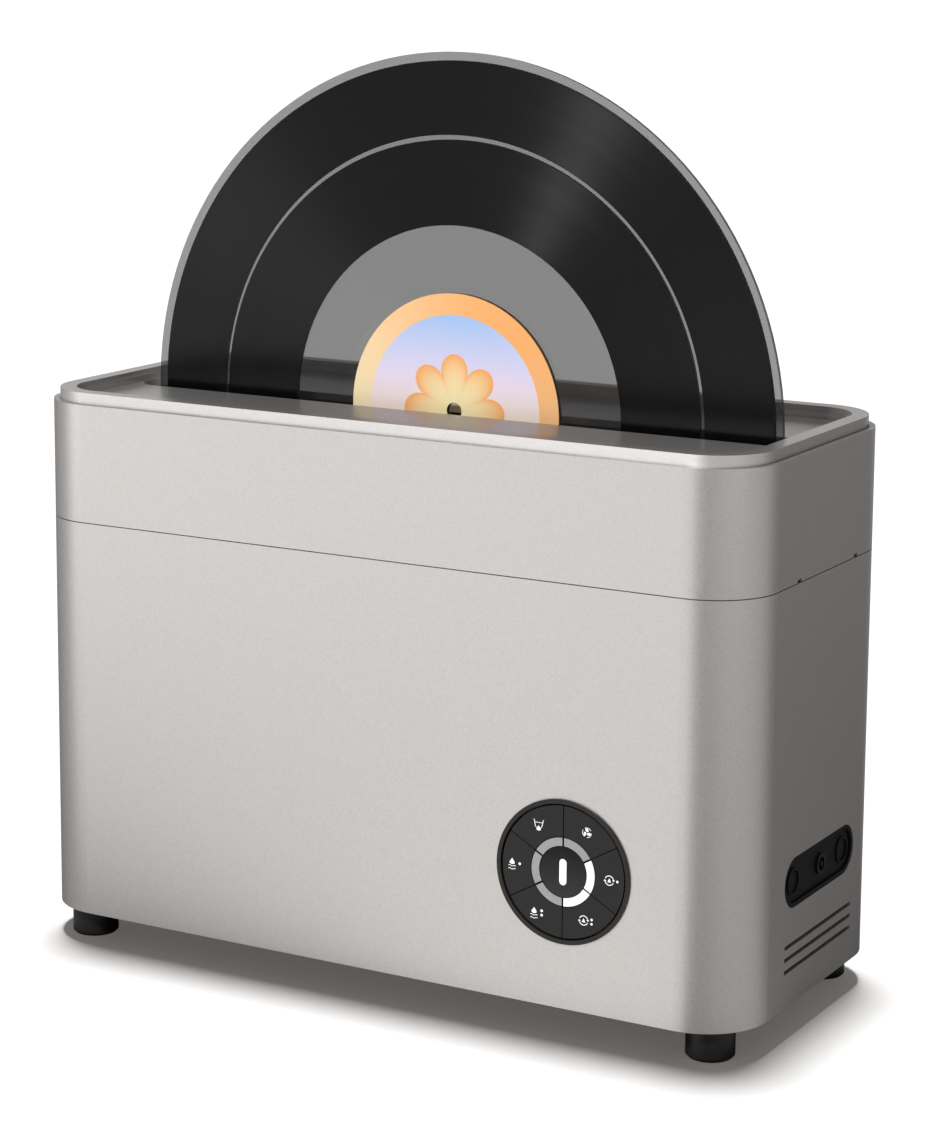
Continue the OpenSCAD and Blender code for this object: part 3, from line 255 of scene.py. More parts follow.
brighter = math_node(deck_paint, "MULTIPLY", level, LEVEL_METAL)
tray_links.new(math_node(deck_paint, "ADD", PAINT_METAL, brighter),
               tray_shader.inputs["Metallic"])
dress(deck_paint, "deck_tray")

# Side cover and supply socket. A moulded black cover snaps into the right end, with two
# low round bosses and the round low voltage socket with its centre pin between them.
cover_black = finish("cover_black", (0.01, 0.01, 0.01), 0.5, more={"Specular IOR Level": 0.12})
use(cover_black, skin, {"Colour A": (0.004, 0.004, 0.004), "Colour B": (0.01, 0.01, 0.01),
                        "Grain": 0.0005, "Roughness": 0.46}, bump=0.25)
dress(cover_black, "side_cover")
socket_black = finish("socket_black", (0.01, 0.01, 0.01), 0.42, more={"Specular IOR Level": 0.2})
use(socket_black, skin, {"Colour A": (0.006, 0.006, 0.006), "Colour B": (0.012, 0.012, 0.012),
                         "Grain": 0.0003, "Roughness": 0.42}, bump=0.15)
dress(socket_black, "supply_socket")

# Wash bath. Two pressed stainless sides and a half round strip, brazed into a narrow
# tub with a flange round its mouth, a bulge for each roller and two rows of air windows.
bath_steel = finish("bath_steel", (0.55, 0.56, 0.57), 0.28, 1.0)
use(bath_steel, drawn, {"Colour A": (0.42, 0.43, 0.44), "Colour B": (0.6, 0.61, 0.62),
                        "Across": 2600.0, "Along": 90.0, "Roughness": 0.27}, bump=0.12,
    distance=0.00003)
dress(bath_steel, "bath")

# Bath gasket, shaft seals. Black silicone rings that keep the water in: one lies
# between the bath's flange and the deck, the others round the roller shafts.
seal_rubber = finish("seal_rubber", (0.02, 0.02, 0.02), 0.55)
use(seal_rubber, skin, {"Colour A": (0.012, 0.012, 0.013), "Colour B": (0.028, 0.028, 0.028),
                        "Grain": 0.0007, "Roughness": 0.58}, bump=0.3)
dress(seal_rubber, "bath_gasket", "shaft_seals")

# Edge guides, roller hubs, drive gear, pump impeller and filter. Natural white acetal,
# moulded and slightly waxy, so light goes a little way into it.
acetal = finish("white_acetal", (0.8, 0.79, 0.75), 0.4,
                more={"Subsurface Weight": 0.15, "Subsurface Radius": (0.002, 0.002, 0.0015)})
use(acetal, skin, {"Colour A": (0.72, 0.71, 0.67), "Colour B": (0.84, 0.83, 0.79),
                   "Grain": 0.0008, "Roughness": 0.38}, bump=0.15)
dress(acetal, "edge_guides", "drive_roller", "idler_roller", "drive_gear", "pump_impeller",
      "tank_filter")

# Transducers. Machined aluminium stacks, each a front mass, two piezo rings and a back
# mass on one bolt, bonded to the outside of the bath.
turned = finish("turned_aluminium", (0.7, 0.7, 0.71), 0.3, 1.0)
use(turned, drawn, {"Colour A": (0.58, 0.58, 0.6), "Colour B": (0.76, 0.76, 0.78),
                    "Across": 200.0, "Along": 2400.0, "Roughness": 0.3}, bump=0.12,
    distance=0.00002)
dress(turned, "transducers")

# Roller shafts, motor cans and the valve's plunger. Ground stainless bar and drawn
# steel cans, bright with fine lines along them.
ground = finish("ground_steel", (0.55, 0.55, 0.56), 0.22, 1.0)
use(ground, drawn, {"Colour A": (0.46, 0.46, 0.47), "Colour B": (0.6, 0.6, 0.61),
                    "Across": 1800.0, "Along": 300.0, "Roughness": 0.22}, bump=0.08,
    distance=0.00002)
dress(ground, "drive_shaft", "idler_shaft", "drive_motor", "pump_motor", "valve_plunger")

# Roller tyres. Soft orange silicone with a groove that takes the record's edge, matt
# with a light bloom.
tyre_silicone = finish("tyre_silicone", (0.7, 0.22, 0.05), 0.6)
use(tyre_silicone, skin, {"Colour A": (0.62, 0.17, 0.035), "Colour B": (0.78, 0.27, 0.07),
                          "Grain": 0.0005, "Roughness": 0.6}, bump=0.2)
dress(tyre_silicone, "drive_tyre", "idler_tyre")

# Shaft bushes and motor pinion. Sintered bronze and brass, dull where the pores hold
# oil and brighter where they run.
bronze = finish("sintered_bronze", (0.6, 0.38, 0.16), 0.4, 1.0)
use(bronze, skin, {"Colour A": (0.46, 0.28, 0.11), "Colour B": (0.72, 0.48, 0.22),
                   "Grain": 0.0004, "Roughness": 0.4, "Spread": 0.25}, bump=0.25)
dress(bronze, "shaft_bushes", "motor_pinion")

# Record. A pressed vinyl disc that stands on its edge in the slot, its middle and rim
# raised, grooved on both faces and slightly see-through where no groove is cut.
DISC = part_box("record")
record_centre = (0, 0, (DISC[0][2] + DISC[1][2]) / 2)
DEAD_WAX, SPLIT, SPLIT_W, GROOVED, EDGE = 0.0785, 0.1153, 0.00095, 0.1472, 0.1495
SOFT, FACE_SKIN = 0.0002, 0.00005
DUST, BAND_ROUGH, RIM_CLEARER, SIDE_ALPHA = 0.12, 0.08, 0.06, 0.84

disc, start, end, where = effect(
    "record_rings",
    {"Groove": (0.012, 0.012, 0.012), "Sheen": (0.03, 0.03, 0.03), "Smooth": (0.2, 0.2, 0.2),
     "Grooved roughness": 0.3, "Smooth roughness": 0.12, "Smooth alpha": 0.6},
    ("Colour", "Roughness", "Height", "Clear", "Side"))
from_hole = vector_node(disc, "SUBTRACT", where, record_centre)
radius = vector_node(disc, "LENGTH", vector_node(disc, "MULTIPLY", from_hole, (1, 0, 1)))


def past(edge):
    """A soft step over the disc's radius: 0 inside an edge and 1 outside it."""
    beyond = math_node(disc, "SUBTRACT", radius, edge - SOFT / 2)
    return math_node(disc, "DIVIDE", beyond, SOFT, clamp=True)


grooved = math_node(disc, "SUBTRACT", past(DEAD_WAX), past(GROOVED))
gap = math_node(disc, "SUBTRACT", past(SPLIT - SPLIT_W), past(SPLIT + SPLIT_W))
grooved = math_node(disc, "SUBTRACT", grooved, gap, clamp=True)
rings = place(disc, "ShaderNodeTexNoise",
              {"noise_dimensions": "1D", "Scale": 2400.0, "Detail": 2.0, "Roughness": 0.7},
              {"W": radius})
bands = place(disc, "ShaderNodeTexNoise",
              {"noise_dimensions": "1D", "Scale": 130.0, "Detail": 4.0}, {"W": radius})
dust = place(disc, "ShaderNodeTexNoise", {"Scale": 30.0, "Detail": 5.0}, {"Vector": where})
tone = math_node(disc, "MULTIPLY", rings.outputs["Fac"], bands.outputs["Fac"])
tone = math_node(disc, "ADD", tone, math_node(disc, "MULTIPLY", dust.outputs["Fac"], DUST))
black = between(disc, tone, start["Groove"], start["Sheen"])
disc.links.new(between(disc, grooved, start["Smooth"], black), end["Colour"])
rougher = math_node(disc, "SUBTRACT", start["Grooved roughness"], start["Smooth roughness"])
rough = math_node(disc, "ADD", start["Smooth roughness"],
                  math_node(disc, "MULTIPLY", grooved, rougher))
disc.links.new(vary(disc, rough, bands.outputs["Fac"], BAND_ROUGH), end["Roughness"])
disc.links.new(math_node(disc, "MULTIPLY", grooved, rings.outputs["Fac"]), end["Height"])
rim = math_node(disc, "MULTIPLY", past(GROOVED), RIM_CLEARER)
disc.links.new(math_node(disc, "MAXIMUM", grooved, math_node(
    disc, "SUBTRACT", start["Smooth alpha"], rim)), end["Clear"])
through = place(disc, "ShaderNodeSeparateXYZ", (), {"Vector": where})
within = math_node(disc, "LESS_THAN", math_node(disc, "ABSOLUTE", through.outputs["Y"]),
                   DISC[1][1] - FACE_SKIN)
disc.links.new(math_node(disc, "MULTIPLY", within, past(EDGE)), end["Side"])

vinyl = finish("record_vinyl", (0.02, 0.02, 0.02), 0.3, more={
    "Anisotropic": 0.95, "Anisotropic Rotation": 0.25, "Specular IOR Level": 0.22})
vinyl_shader = vinyl.node_tree.nodes["Principled BSDF"]
pressed = use(vinyl, disc, {"Groove": (0.0025, 0.0025, 0.0025), "Sheen": (0.006, 0.006, 0.006),
                            "Smooth": (0.02, 0.02, 0.021), "Grooved roughness": 0.335,
                            "Smooth roughness": 0.14, "Smooth alpha": 0.56}, bump=0.12,
              distance=0.00003)
outside = math_node(vinyl, "SUBTRACT", SIDE_ALPHA, place(
    vinyl, "ShaderNodeNewGeometry").outputs["Backfacing"], clamp=True)
vinyl.node_tree.links.new(math_node(vinyl, "MAXIMUM", pressed.outputs["Clear"], math_node(
    vinyl, "MULTIPLY", pressed.outputs["Side"], outside)), vinyl_shader.inputs["Alpha"])
round_about = place(vinyl, "ShaderNodeTangent", {"direction_type": "RADIAL", "axis": "Y"})
vinyl.node_tree.links.new(round_about.outputs[0], vinyl_shader.inputs["Tangent"])
dress(vinyl, "record")

# Record label. Printed paper pressed into both faces of the record: a warm ring round a
# field that fades from blue to peach, with a plain lobed rosette printed in the middle.
printed, start, end, where = effect(
    "label_print",
    {"Ring A": (1.0, 0.46, 0.15), "Ring B": (1.0, 0.95, 0.64), "Sky A": (0.38, 0.58, 0.93),
     "Sky B": (0.84, 0.74, 0.93), "Sky C": (1.0, 0.84, 0.64), "Petal A": (1.0, 0.88, 0.5),
     "Petal B": (1.0, 0.42, 0.12)},
    ("Colour", "Roughness", "Height"))
PETAL_IN, PETAL_TIP, PETAL_EDGE = 0.0155, 0.0085, 0.0005
LOBES, LOBE_ROUND, PETAL_FADE = 4.0, 0.6, 2.5
FIELD, FIELD_EDGE, WARM_TURN = 0.0406, 0.0004, 0.6
SKY_BELOW, SKY_TALL = 0.006, 0.05
HAZE_RATE, BLUE_RATE, BLUE_FROM = 2.4, 1.9, 0.75
PAPER_ROUGH, PAPER_SPREAD = 0.42, 0.16
apart = place(printed, "ShaderNodeSeparateXYZ", (),
              {"Vector": vector_node(printed, "SUBTRACT", where, record_centre)})
across, up = apart.outputs["X"], apart.outputs["Z"]
squares = math_node(printed, "ADD", math_node(printed, "MULTIPLY", across, across),
                    math_node(printed, "MULTIPLY", up, up))
away = math_node(printed, "POWER", squares, 0.5)
turn = math_node(printed, "ARCTAN2", up, across)
sweep = math_node(printed, "SINE", math_node(printed, "ADD", turn, WARM_TURN))
sweep = math_node(printed, "ADD", 0.5, math_node(printed, "MULTIPLY", sweep, 0.5))
warm = between(printed, sweep, start["Ring B"], start["Ring A"])
height = math_node(printed, "DIVIDE", math_node(printed, "ADD", up, SKY_BELOW), SKY_TALL,
                   clamp=True)
low = between(printed, math_node(printed, "MULTIPLY", height, HAZE_RATE, clamp=True),
              start["Sky C"], start["Sky B"])
sky = between(printed, math_node(printed, "SUBTRACT", math_node(
    printed, "MULTIPLY", height, BLUE_RATE), BLUE_FROM, clamp=True), low, start["Sky A"])
lobes = math_node(printed, "ABSOLUTE", math_node(printed, "COSINE", math_node(
    printed, "MULTIPLY", turn, LOBES)))
reach = math_node(printed, "ADD", PETAL_IN, math_node(
    printed, "MULTIPLY", math_node(printed, "POWER", lobes, LOBE_ROUND), PETAL_TIP))
petal = math_node(printed, "SUBTRACT", 1.0, math_node(
    printed, "DIVIDE", math_node(printed, "SUBTRACT", away, reach), PETAL_EDGE), clamp=True)
depth = math_node(printed, "POWER", math_node(printed, "DIVIDE", away, reach, clamp=True),
                  PETAL_FADE)
flower = between(printed, depth, start["Petal A"], start["Petal B"])
field = between(printed, petal, sky, flower)
rim = math_node(printed, "DIVIDE", math_node(printed, "SUBTRACT", away, FIELD), FIELD_EDGE,
                clamp=True)
paper = place(printed, "ShaderNodeTexNoise", {"Scale": 900.0, "Detail": 4.0, "Roughness": 0.7},
              {"Vector": where})
printed.links.new(between(printed, rim, field, warm), end["Colour"])
printed.links.new(math_node(printed, "ADD", PAPER_ROUGH, math_node(
    printed, "MULTIPLY", paper.outputs["Fac"], PAPER_SPREAD)), end["Roughness"])
printed.links.new(paper.outputs["Fac"], end["Height"])
label_paper = finish("label_paper", (0.9, 0.6, 0.4), 0.5)
use(label_paper, printed, {}, bump=0.2, distance=0.00004)
dress(label_paper, "record_label")

# Panel bezel and carrier. A satin black moulded ring sits in a round hole of the front
# and clamps to a carrier plate behind, which guides the stems of the keys.
bezel_black = finish("bezel_black", (0.03, 0.028, 0.026), 0.3, more={"Specular IOR Level": 0.25})
use(bezel_black, skin, {"Colour A": (0.018, 0.0168, 0.015), "Colour B": (0.028, 0.0258, 0.0235),
                        "Grain": 0.0004, "Roughness": 0.34}, bump=0.15, distance=0.00003)
dress(bezel_black, "bezel")
carrier_black = finish("carrier_black", (0.02, 0.02, 0.02), 0.5)
use(carrier_black, skin, {"Colour A": (0.012, 0.012, 0.012), "Colour B": (0.026, 0.026, 0.026),
                          "Grain": 0.0007, "Roughness": 0.5}, bump=0.3)
dress(carrier_black, "panel_carrier", "panel_switches")

# Six sector keys. Soft touch moulded black keys round the middle one, each with a pad
# printed white symbol, that tip a switch on the board behind through a short stem.
KEY_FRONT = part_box("key_dry")[0][1]
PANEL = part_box("power_key")
panel_x = (PANEL[0][0] + PANEL[1][0]) / 2
panel_z = (PANEL[0][2] + PANEL[1][2]) / 2
MARK_T, MARK_PROUD = 0.00008, 0.00004

key_black = finish("key_black", (0.02, 0.02, 0.02), 0.5, more={"Specular IOR Level": 0.25})
use(key_black, skin, {"Colour A": (0.017, 0.017, 0.017), "Colour B": (0.022, 0.022, 0.022),
                      "Grain": 0.00035, "Roughness": 0.5, "Spread": 0.08}, bump=0.25,
    distance=0.00003)
dress(key_black, "key_auto_short", "key_dry", "key_drain", "key_wash_short", "key_wash_long",
      "key_auto_long")

# Painted glow: the white ink has a weak emission of its own, though no lamp lights it.
ink_with_painted_glow = finish("mark_ink_painted_glow", (0.8, 0.8, 0.8), 0.45,
             more={"Emission Color": (1, 1, 1, 1), "Emission Strength": 0.35})
use(ink_with_painted_glow, skin, {"Colour A": (0.74, 0.74, 0.73), "Colour B": (0.92, 0.92, 0.91), "Grain": 0.0002,
                "Roughness": 0.45}, bump=0.1, distance=0.00001)


def round_mark(x, z, r, n=20):
    """Outline of a printed dot."""
    return [(x + r * math.cos(2 * math.pi * k / n), z + r * math.sin(2 * math.pi * k / n))
            for k in range(n)]


def line_mark(points, width):
    """Outline of a printed line of even width along some points."""
    left, right = [], []
    for k, (x, z) in enumerate(points):
        x0, z0 = points[max(k - 1, 0)]
        x1, z1 = points[min(k + 1, len(points) - 1)]
        run = math.hypot(x1 - x0, z1 - z0)
        nx, nz = -(z1 - z0) / run * width / 2, (x1 - x0) / run * width / 2
        left.append((x + nx, z + nz))
        right.append((x - nx, z - nz))
    return left + right[::-1]


def arc_mark(x, z, r, a0, a1, width, n=22):
    """Outline of a printed arc, angles in degrees."""
    turn = [math.radians(a0 + (a1 - a0) * k / n) for k in range(n + 1)]
    return line_mark([(x + r * math.cos(t), z + r * math.sin(t)) for t in turn], width)


def drop_mark(x, z, size):
    """Outline of a water drop with its point up."""
    steps, wide, pointed, tall = 28, 1.15, 2.2, 0.82
    shape = []
    for k in range(steps):
        t = 2 * math.pi * k / steps
        shape.append((x + wide * size * math.sin(t) * math.sin(t / 2) ** pointed,
                      z + size * math.cos(t) * tall))
    return shape[::-1]


def wave_marks(x, z, width):
    """Outlines of two short waves of water."""
    steps, apart, swell, crests, stroke = 16, 1.25, 0.2, 3, 0.25
    rows = []
    for row in (0, 1):
        line = [(x + width * (k / steps - 0.5),
                 z - apart * row + swell * math.sin(k / steps * crests * math.pi))
                for k in range(steps + 1)]
        rows.append(line_mark(line, stroke))
    return rows


def wash_marks(dots):
    """Drop over waves, with one dot for a short wash and two for a long one."""
    middle, dot_x, dot_r = -0.95, 2.5, 0.56
    shapes = [drop_mark(middle, 0.75, 1.6)] + wave_marks(middle, -1.25, 3.3)
    return shapes + [round_mark(dot_x, z, dot_r) for z in dots]


def auto_marks(dots):
    """Two chasing arrows round a small wedge, with one dot or two."""
    middle, ring_r, stroke = -0.25, 1.9, 0.34
    barb, point, dot_x, dot_r = 0.58, 0.8, 3.3, 0.52
    shapes = []
    for turn in (0, 180):
        shapes.append(arc_mark(middle, 0, ring_r, 18 + turn, 156 + turn, stroke))
        tip = math.radians(14 + turn)
        x, z = middle + ring_r * math.cos(tip), ring_r * math.sin(tip)
        out, back = (math.cos(tip), math.sin(tip)), (math.sin(tip), -math.cos(tip))
        shapes.append([(x + barb * out[0], z + barb * out[1]),
                       (x - barb * out[0], z - barb * out[1]),
                       (x + point * back[0], z + point * back[1])])
    shapes.append([(middle, 0.95), (-1.05, -0.75), (0.55, -0.75)])
    return shapes + [round_mark(dot_x, z, dot_r) for z in dots]


def dry_marks():
    """A fan of three blades in a broken ring."""
    ring_r, sweep, stroke, steps = 1.95, 88, 0.24, 18
    reach, wide, lean = 0.72, 0.66, 0.26
    shapes = [arc_mark(0, 0, ring_r, a, a + sweep, stroke) for a in (30, 150, 270)]
    for k in range(3):
        turn = math.radians(90 + 120 * k)
        blade = []
        for j in range(steps):
            t = 2 * math.pi * j / steps
            a, b = 1.0 + reach * math.cos(t), wide * math.sin(t) + lean * math.cos(t)
            blade.append((a * math.cos(turn) - b * math.sin(turn),
                          a * math.sin(turn) + b * math.cos(turn)))
        shapes.append(blade)
    return shapes


def drain_marks():
    """A basin with its water line, that a drop leaves at the bottom."""
    wall = ((2.1, 2.2), (1.8, 0.9), (1.45, -0.6), (0.95, -1.2))
    wall_stroke, water_stroke = 0.3, 0.22
    shapes = [line_mark([(side * x, z) for x, z in wall], wall_stroke) for side in (-1, 1)]
    shapes.append(line_mark([(-1.7, 1.0), (1.7, 1.0)], water_stroke))
    return shapes + [drop_mark(0, -1.2, 1.35)]


def print_mark(name, key, middle, shapes):
    """Prints flat shapes, in millimetres from the panel's middle, on the front of a key."""
    form = bmesh.new()
    for shape in shapes:
        ring = [form.verts.new((panel_x + middle[0] / 1000 + x / 1000, KEY_FRONT - MARK_PROUD,
                                panel_z + middle[1] / 1000 + z / 1000)) for x, z in shape]
        face = form.faces.new(ring)
        grown = bmesh.ops.extrude_face_region(form, geom=[face])["geom"]
        bmesh.ops.translate(form, vec=(0, MARK_T, 0),
                            verts=[v for v in grown if isinstance(v, bmesh.types.BMVert)])
    bmesh.ops.recalc_face_normals(form, faces=form.faces)
    mesh = bpy.data.meshes.new(name)
    form.to_mesh(mesh)
    form.free()
    mark = bpy.data.objects.new(name, mesh)
    bpy.context.collection.objects.link(mark)
    mesh.materials.append(ink_with_painted_glow)
    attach(mark, key)


for key, middle, shapes in (
        ("key_auto_short", (20.9, -0.1), auto_marks((0,))),
        ("key_dry", (10.5, 17.9), dry_marks()),
        ("key_drain", (-11.1, 17.8), drain_marks()),
        ("key_wash_short", (-22.0, 0.3), wash_marks((0,))),
        ("key_wash_long", (-11.8, -18.5), wash_marks((0.9, -0.9))),
        ("key_auto_long", (9.8, -18.4), auto_marks((0.8, -0.95)))):
    print_mark(key.replace("key", "mark"), key, middle, shapes)

# Middle key. The same soft black with a shallow dish turned into its face, and a lit bar let
# into the middle. The dish's shading is painted into its colour: darker towards the top, lighter
# below.
dish_shade_group, start, end, where = effect(
    "dish_painted_shade", {"Colour A": (0.009, 0.009, 0.009), "Colour B": (0.045, 0.045, 0.045)},
    ("Colour", "Height"))
PAINTED_DISH_SHADE_RATE = -48.0
apart = place(dish_shade_group, "ShaderNodeSeparateXYZ", (),
              {"Vector": vector_node(dish_shade_group, "SUBTRACT", where, (panel_x, 0, panel_z))})
# Painted shade of the dish by height on the key: darker towards the top, lighter towards the bottom.
painted_dish_shade = math_node(dish_shade_group, "ADD", 0.5, math_node(
    dish_shade_group, "MULTIPLY", apart.outputs["Z"], PAINTED_DISH_SHADE_RATE), clamp=True)
grit = place(dish_shade_group, "ShaderNodeTexNoise", {"Scale": 2600.0, "Detail": 2.0}, {"Vector": where})
tone = in_shares(dish_shade_group, (painted_dish_shade, 0.92), (grit.outputs["Fac"], 0.08))
dish_shade_group.links.new(between(dish_shade_group, tone, start["Colour A"], start["Colour B"]), end["Colour"])
dish_shade_group.links.new(grit.outputs["Fac"], end["Height"])
power_black = finish("power_black", (0.03, 0.03, 0.03), 0.42, more={"Specular IOR Level": 0.12})
use(power_black, dish_shade_group, {}, bump=0.15, distance=0.00002)
dress(power_black, "power_key")

# Light ring. Six milky segments between the keys, sleeved in black on their sides and lit
# from the board behind: the two automatic ones and the bar glow white, the rest are off.
SLEEVE_BACK, GLOW_ROUGH, GLOW_SPREAD = 0.0001, 0.3, 0.1
glow, start, end, where = effect(
    "milky_diffuser",
    {"Face A": (0.9, 0.94, 1.0), "Face B": (1.0, 1.0, 1.0), "Sleeve": (0.01, 0.01, 0.01)},
    ("Colour", "Roughness", "Height"))
cloudy = place(glow, "ShaderNodeTexNoise", {"Scale": 700.0, "Detail": 3.0}, {"Vector": where})
facing = place(glow, "ShaderNodeSeparateXYZ", (), {"Vector": where})
sleeved = math_node(glow, "GREATER_THAN", facing.outputs["Y"], KEY_FRONT + SLEEVE_BACK)
face = between(glow, cloudy.outputs["Fac"], start["Face A"], start["Face B"])
glow.links.new(between(glow, sleeved, face, start["Sleeve"]), end["Colour"])
glow.links.new(math_node(glow, "ADD", GLOW_ROUGH, math_node(
    glow, "MULTIPLY", cloudy.outputs["Fac"], GLOW_SPREAD)), end["Roughness"])
glow.links.new(cloudy.outputs["Fac"], end["Height"])
lit = finish("lit_white", (0.2, 0.2, 0.2), 0.3, more={"Emission Strength": 1.0})
use(lit, glow, {}, bump=0.05, distance=0.00002, extra={"Colour": "Emission Color"})
dress(lit, "lights_on", "power_light")
milky = finish("unlit_grey", (0.38, 0.38, 0.38), 0.4,
               more={"Subsurface Weight": 0.2, "Subsurface Radius": (0.001, 0.001, 0.001)})
use(milky, glow, {"Face A": (0.34, 0.34, 0.34), "Face B": (0.41, 0.41, 0.41)}, bump=0.1,
    distance=0.00002)
dress(milky, "lights_off")

# Circuit boards. Green glass epoxy with copper tracks under the mask, one behind the
# keys and one that drives the motor, pump, blowers and transducers.
MASK_ROUGH, TRACK_SMOOTHER = 0.38, 0.1
mask_green, start, end, where = effect(
    "board_mask", {"Mask": (0.012, 0.09, 0.045), "Track": (0.03, 0.19, 0.09)},
    ("Colour", "Roughness", "Height"))
turned_up = place(mask_green, "ShaderNodeSeparateXYZ", (), {"Vector": where})
board_plane = place(mask_green, "ShaderNodeCombineXYZ", (),
                    {"X": turned_up.outputs["X"], "Y": turned_up.outputs["Z"]})
maze = place(mask_green, "ShaderNodeTexBrick",
             {"offset": 0.37, "Scale": 1.0, "Mortar Size": 0.0007, "Brick Width": 0.021,
              "Row Height": 0.0029}, {"Vector": board_plane.outputs[0]})
mask_green.links.new(between(mask_green, maze.outputs["Fac"], start["Mask"], start["Track"]),
                     end["Colour"])
mask_green.links.new(math_node(mask_green, "SUBTRACT", MASK_ROUGH, math_node(
    mask_green, "MULTIPLY", maze.outputs["Fac"], TRACK_SMOOTHER)), end["Roughness"])
mask_green.links.new(maze.outputs["Fac"], end["Height"])
board_green = finish("board_green", (0.02, 0.12, 0.06), 0.35)
use(board_green, mask_green, {}, bump=0.3, distance=0.00005)
dress(board_green, "panel_board", "driver_board")
parts_dark = finish("parts_dark", (0.1, 0.1, 0.11), 0.35, 0.6)
use(parts_dark, drawn, {"Colour A": (0.05, 0.05, 0.055), "Colour B": (0.14, 0.14, 0.15),
                        "Across": 900.0, "Along": 900.0, "Roughness": 0.35}, bump=0.1)
dress(parts_dark, "board_parts")

# Water tank. A clear smoky moulded box that draws out at the back, with a black cap on
# its filler, a sprung valve low in its wall, and a face painted like the case.
tank_clear = finish("tank_clear", (0.5, 0.55, 0.6), 0.08,
                    more={"Transmission Weight": 0.7, "IOR": 1.49})
use(tank_clear, skin, {"Colour A": (0.42, 0.47, 0.52), "Colour B": (0.55, 0.6, 0.65),
                       "Grain": 0.004, "Roughness": 0.08, "Spread": 0.03}, bump=0.03)
dress(tank_clear, "water_tank")
dress(seal_rubber, "tank_cap", "tank_valve")

# Tank bay, pump, drain valve, blowers and ducts. Black glass filled nylon mouldings on
# the base plate, matt with a little of the fibre showing.
nylon = finish("black_nylon", (0.025, 0.025, 0.025), 0.55)
use(nylon, skin, {"Colour A": (0.016, 0.016, 0.017), "Colour B": (0.036, 0.036, 0.037),
                  "Grain": 0.0011, "Roughness": 0.56, "Spread": 0.16}, bump=0.35)
dress(nylon, "tank_bay", "pump_body", "drain_valve", "blower_housings", "air_ducts")
wheel_grey = finish("wheel_grey", (0.09, 0.09, 0.1), 0.45)
use(wheel_grey, skin, {"Colour A": (0.07, 0.07, 0.075), "Colour B": (0.11, 0.11, 0.115),
                       "Grain": 0.0006, "Roughness": 0.45}, bump=0.2)
dress(wheel_grey, "blower_wheel_right", "blower_wheel_left")

# Hoses. Milky silicone tube, one from the pump up to the bath and one from the bath
# through the valve back to the tank.
hose_milky = finish("hose_milky", (0.6, 0.62, 0.63), 0.35,
                    more={"Subsurface Weight": 0.35, "Subsurface Radius": (0.003, 0.003, 0.003)})
use(hose_milky, skin, {"Colour A": (0.52, 0.55, 0.56), "Colour B": (0.68, 0.7, 0.7),
                       "Grain": 0.0015, "Roughness": 0.34}, bump=0.1)
dress(hose_milky, "fill_hose", "drain_hose")

# Studio. A pale floor in a dim room, with a wide soft box overhead and smaller ones in
# front, high in front, on the left and behind. Seen by the camera the floor is even. In reflections
# and bounce light it carries painted light and shade: a bright pool to the front left, shade by the
# right end.
floor_mesh = bpy.data.meshes.new("floor")
form = bmesh.new()
bmesh.ops.create_grid(form, x_segments=1, y_segments=1, size=30.0)
form.to_mesh(floor_mesh)
form.free()
floor = bpy.data.objects.new("floor", floor_mesh)
bpy.context.collection.objects.link(floor)
floor_pale = finish("floor_pale", (0.9, 0.9, 0.9), 0.9, more={
    "Specular IOR Level": 0.0, "Emission Color": (1.0, 0.93, 0.86, 1), "Emission Strength": 0.1})
use(floor_pale, skin, {"Colour A": (0.87, 0.87, 0.87), "Colour B": (0.9, 0.9, 0.9),
                       "Grain": 0.004, "Roughness": 0.9, "Spread": 0.05})
CASE_CORNER, FLOOR_FAR, PAINTED_LIGHT_GAIN = (0.1415, -0.0455, 0), 5.0, 1.78
PAINTED_LIGHT_TINT, PLAIN = (1.0, 0.988, 0.975), (1.0, 1.0, 1.0)


def shade_ramp(factor, near, rows, tint):
    """A ramp over the floor: its shade at the near end, and rows of a place and a shade."""
    ramp = place(floor_pale, "ShaderNodeValToRGB", (), {"Fac": factor})
    stops = ramp.color_ramp.elements
    stops[0].color = (*(near * part for part in tint), 1)
    for at, shade in rows:
        stops.new(at).color = (*(shade * part for part in tint), 1)
    return ramp


# Bearings run in degrees from the front round to the right. Straight behind, at 180, the
# ramp keeps its own white end.
from_corner = vector_node(floor_pale, "SUBTRACT",
                          place(floor_pale, "ShaderNodeTexCoord").outputs["Object"], CASE_CORNER)
apart = place(floor_pale, "ShaderNodeSeparateXYZ", (), {"Vector": from_corner})
bearing = math_node(floor_pale, "ARCTAN2", apart.outputs["X"],
                    math_node(floor_pale, "MULTIPLY", apart.outputs["Y"], -1.0))
round_about = math_node(floor_pale, "ADD", 0.5, math_node(
    floor_pale, "DIVIDE", bearing, 2 * math.pi))
# Painted light and shade by bearing from the case's corner, seen only in reflections and bounce
# light.
painted_light_by_bearing = shade_ramp(round_about, 0.36, [(degrees / 360 + 0.5, shade) for degrees, shade in (
    (-130, 0.20), (-78, 0.22), (-60, 0.72), (-17, 0.84), (-8, 0.84), (3, 0.15), (22, 0.19),
    (45, 0.33), (60, 0.38), (95, 0.43), (120, 0.36), (145, 0.14), (168, 0.14))], PAINTED_LIGHT_TINT)
# Painted falloff by distance: dimmer near the case, almost full out to a few metres, dark beyond.
away = math_node(floor_pale, "DIVIDE", vector_node(floor_pale, "LENGTH", from_corner), FLOOR_FAR)
painted_falloff = shade_ramp(away, 0.58, ((0.07, 0.6), (0.14, 0.64), (0.2, 0.73), (0.27, 0.88),
                                 (0.9, 0.98)), PLAIN)
painted_falloff.color_ramp.elements[-1].color = (0.03, 0.03, 0.03, 1)
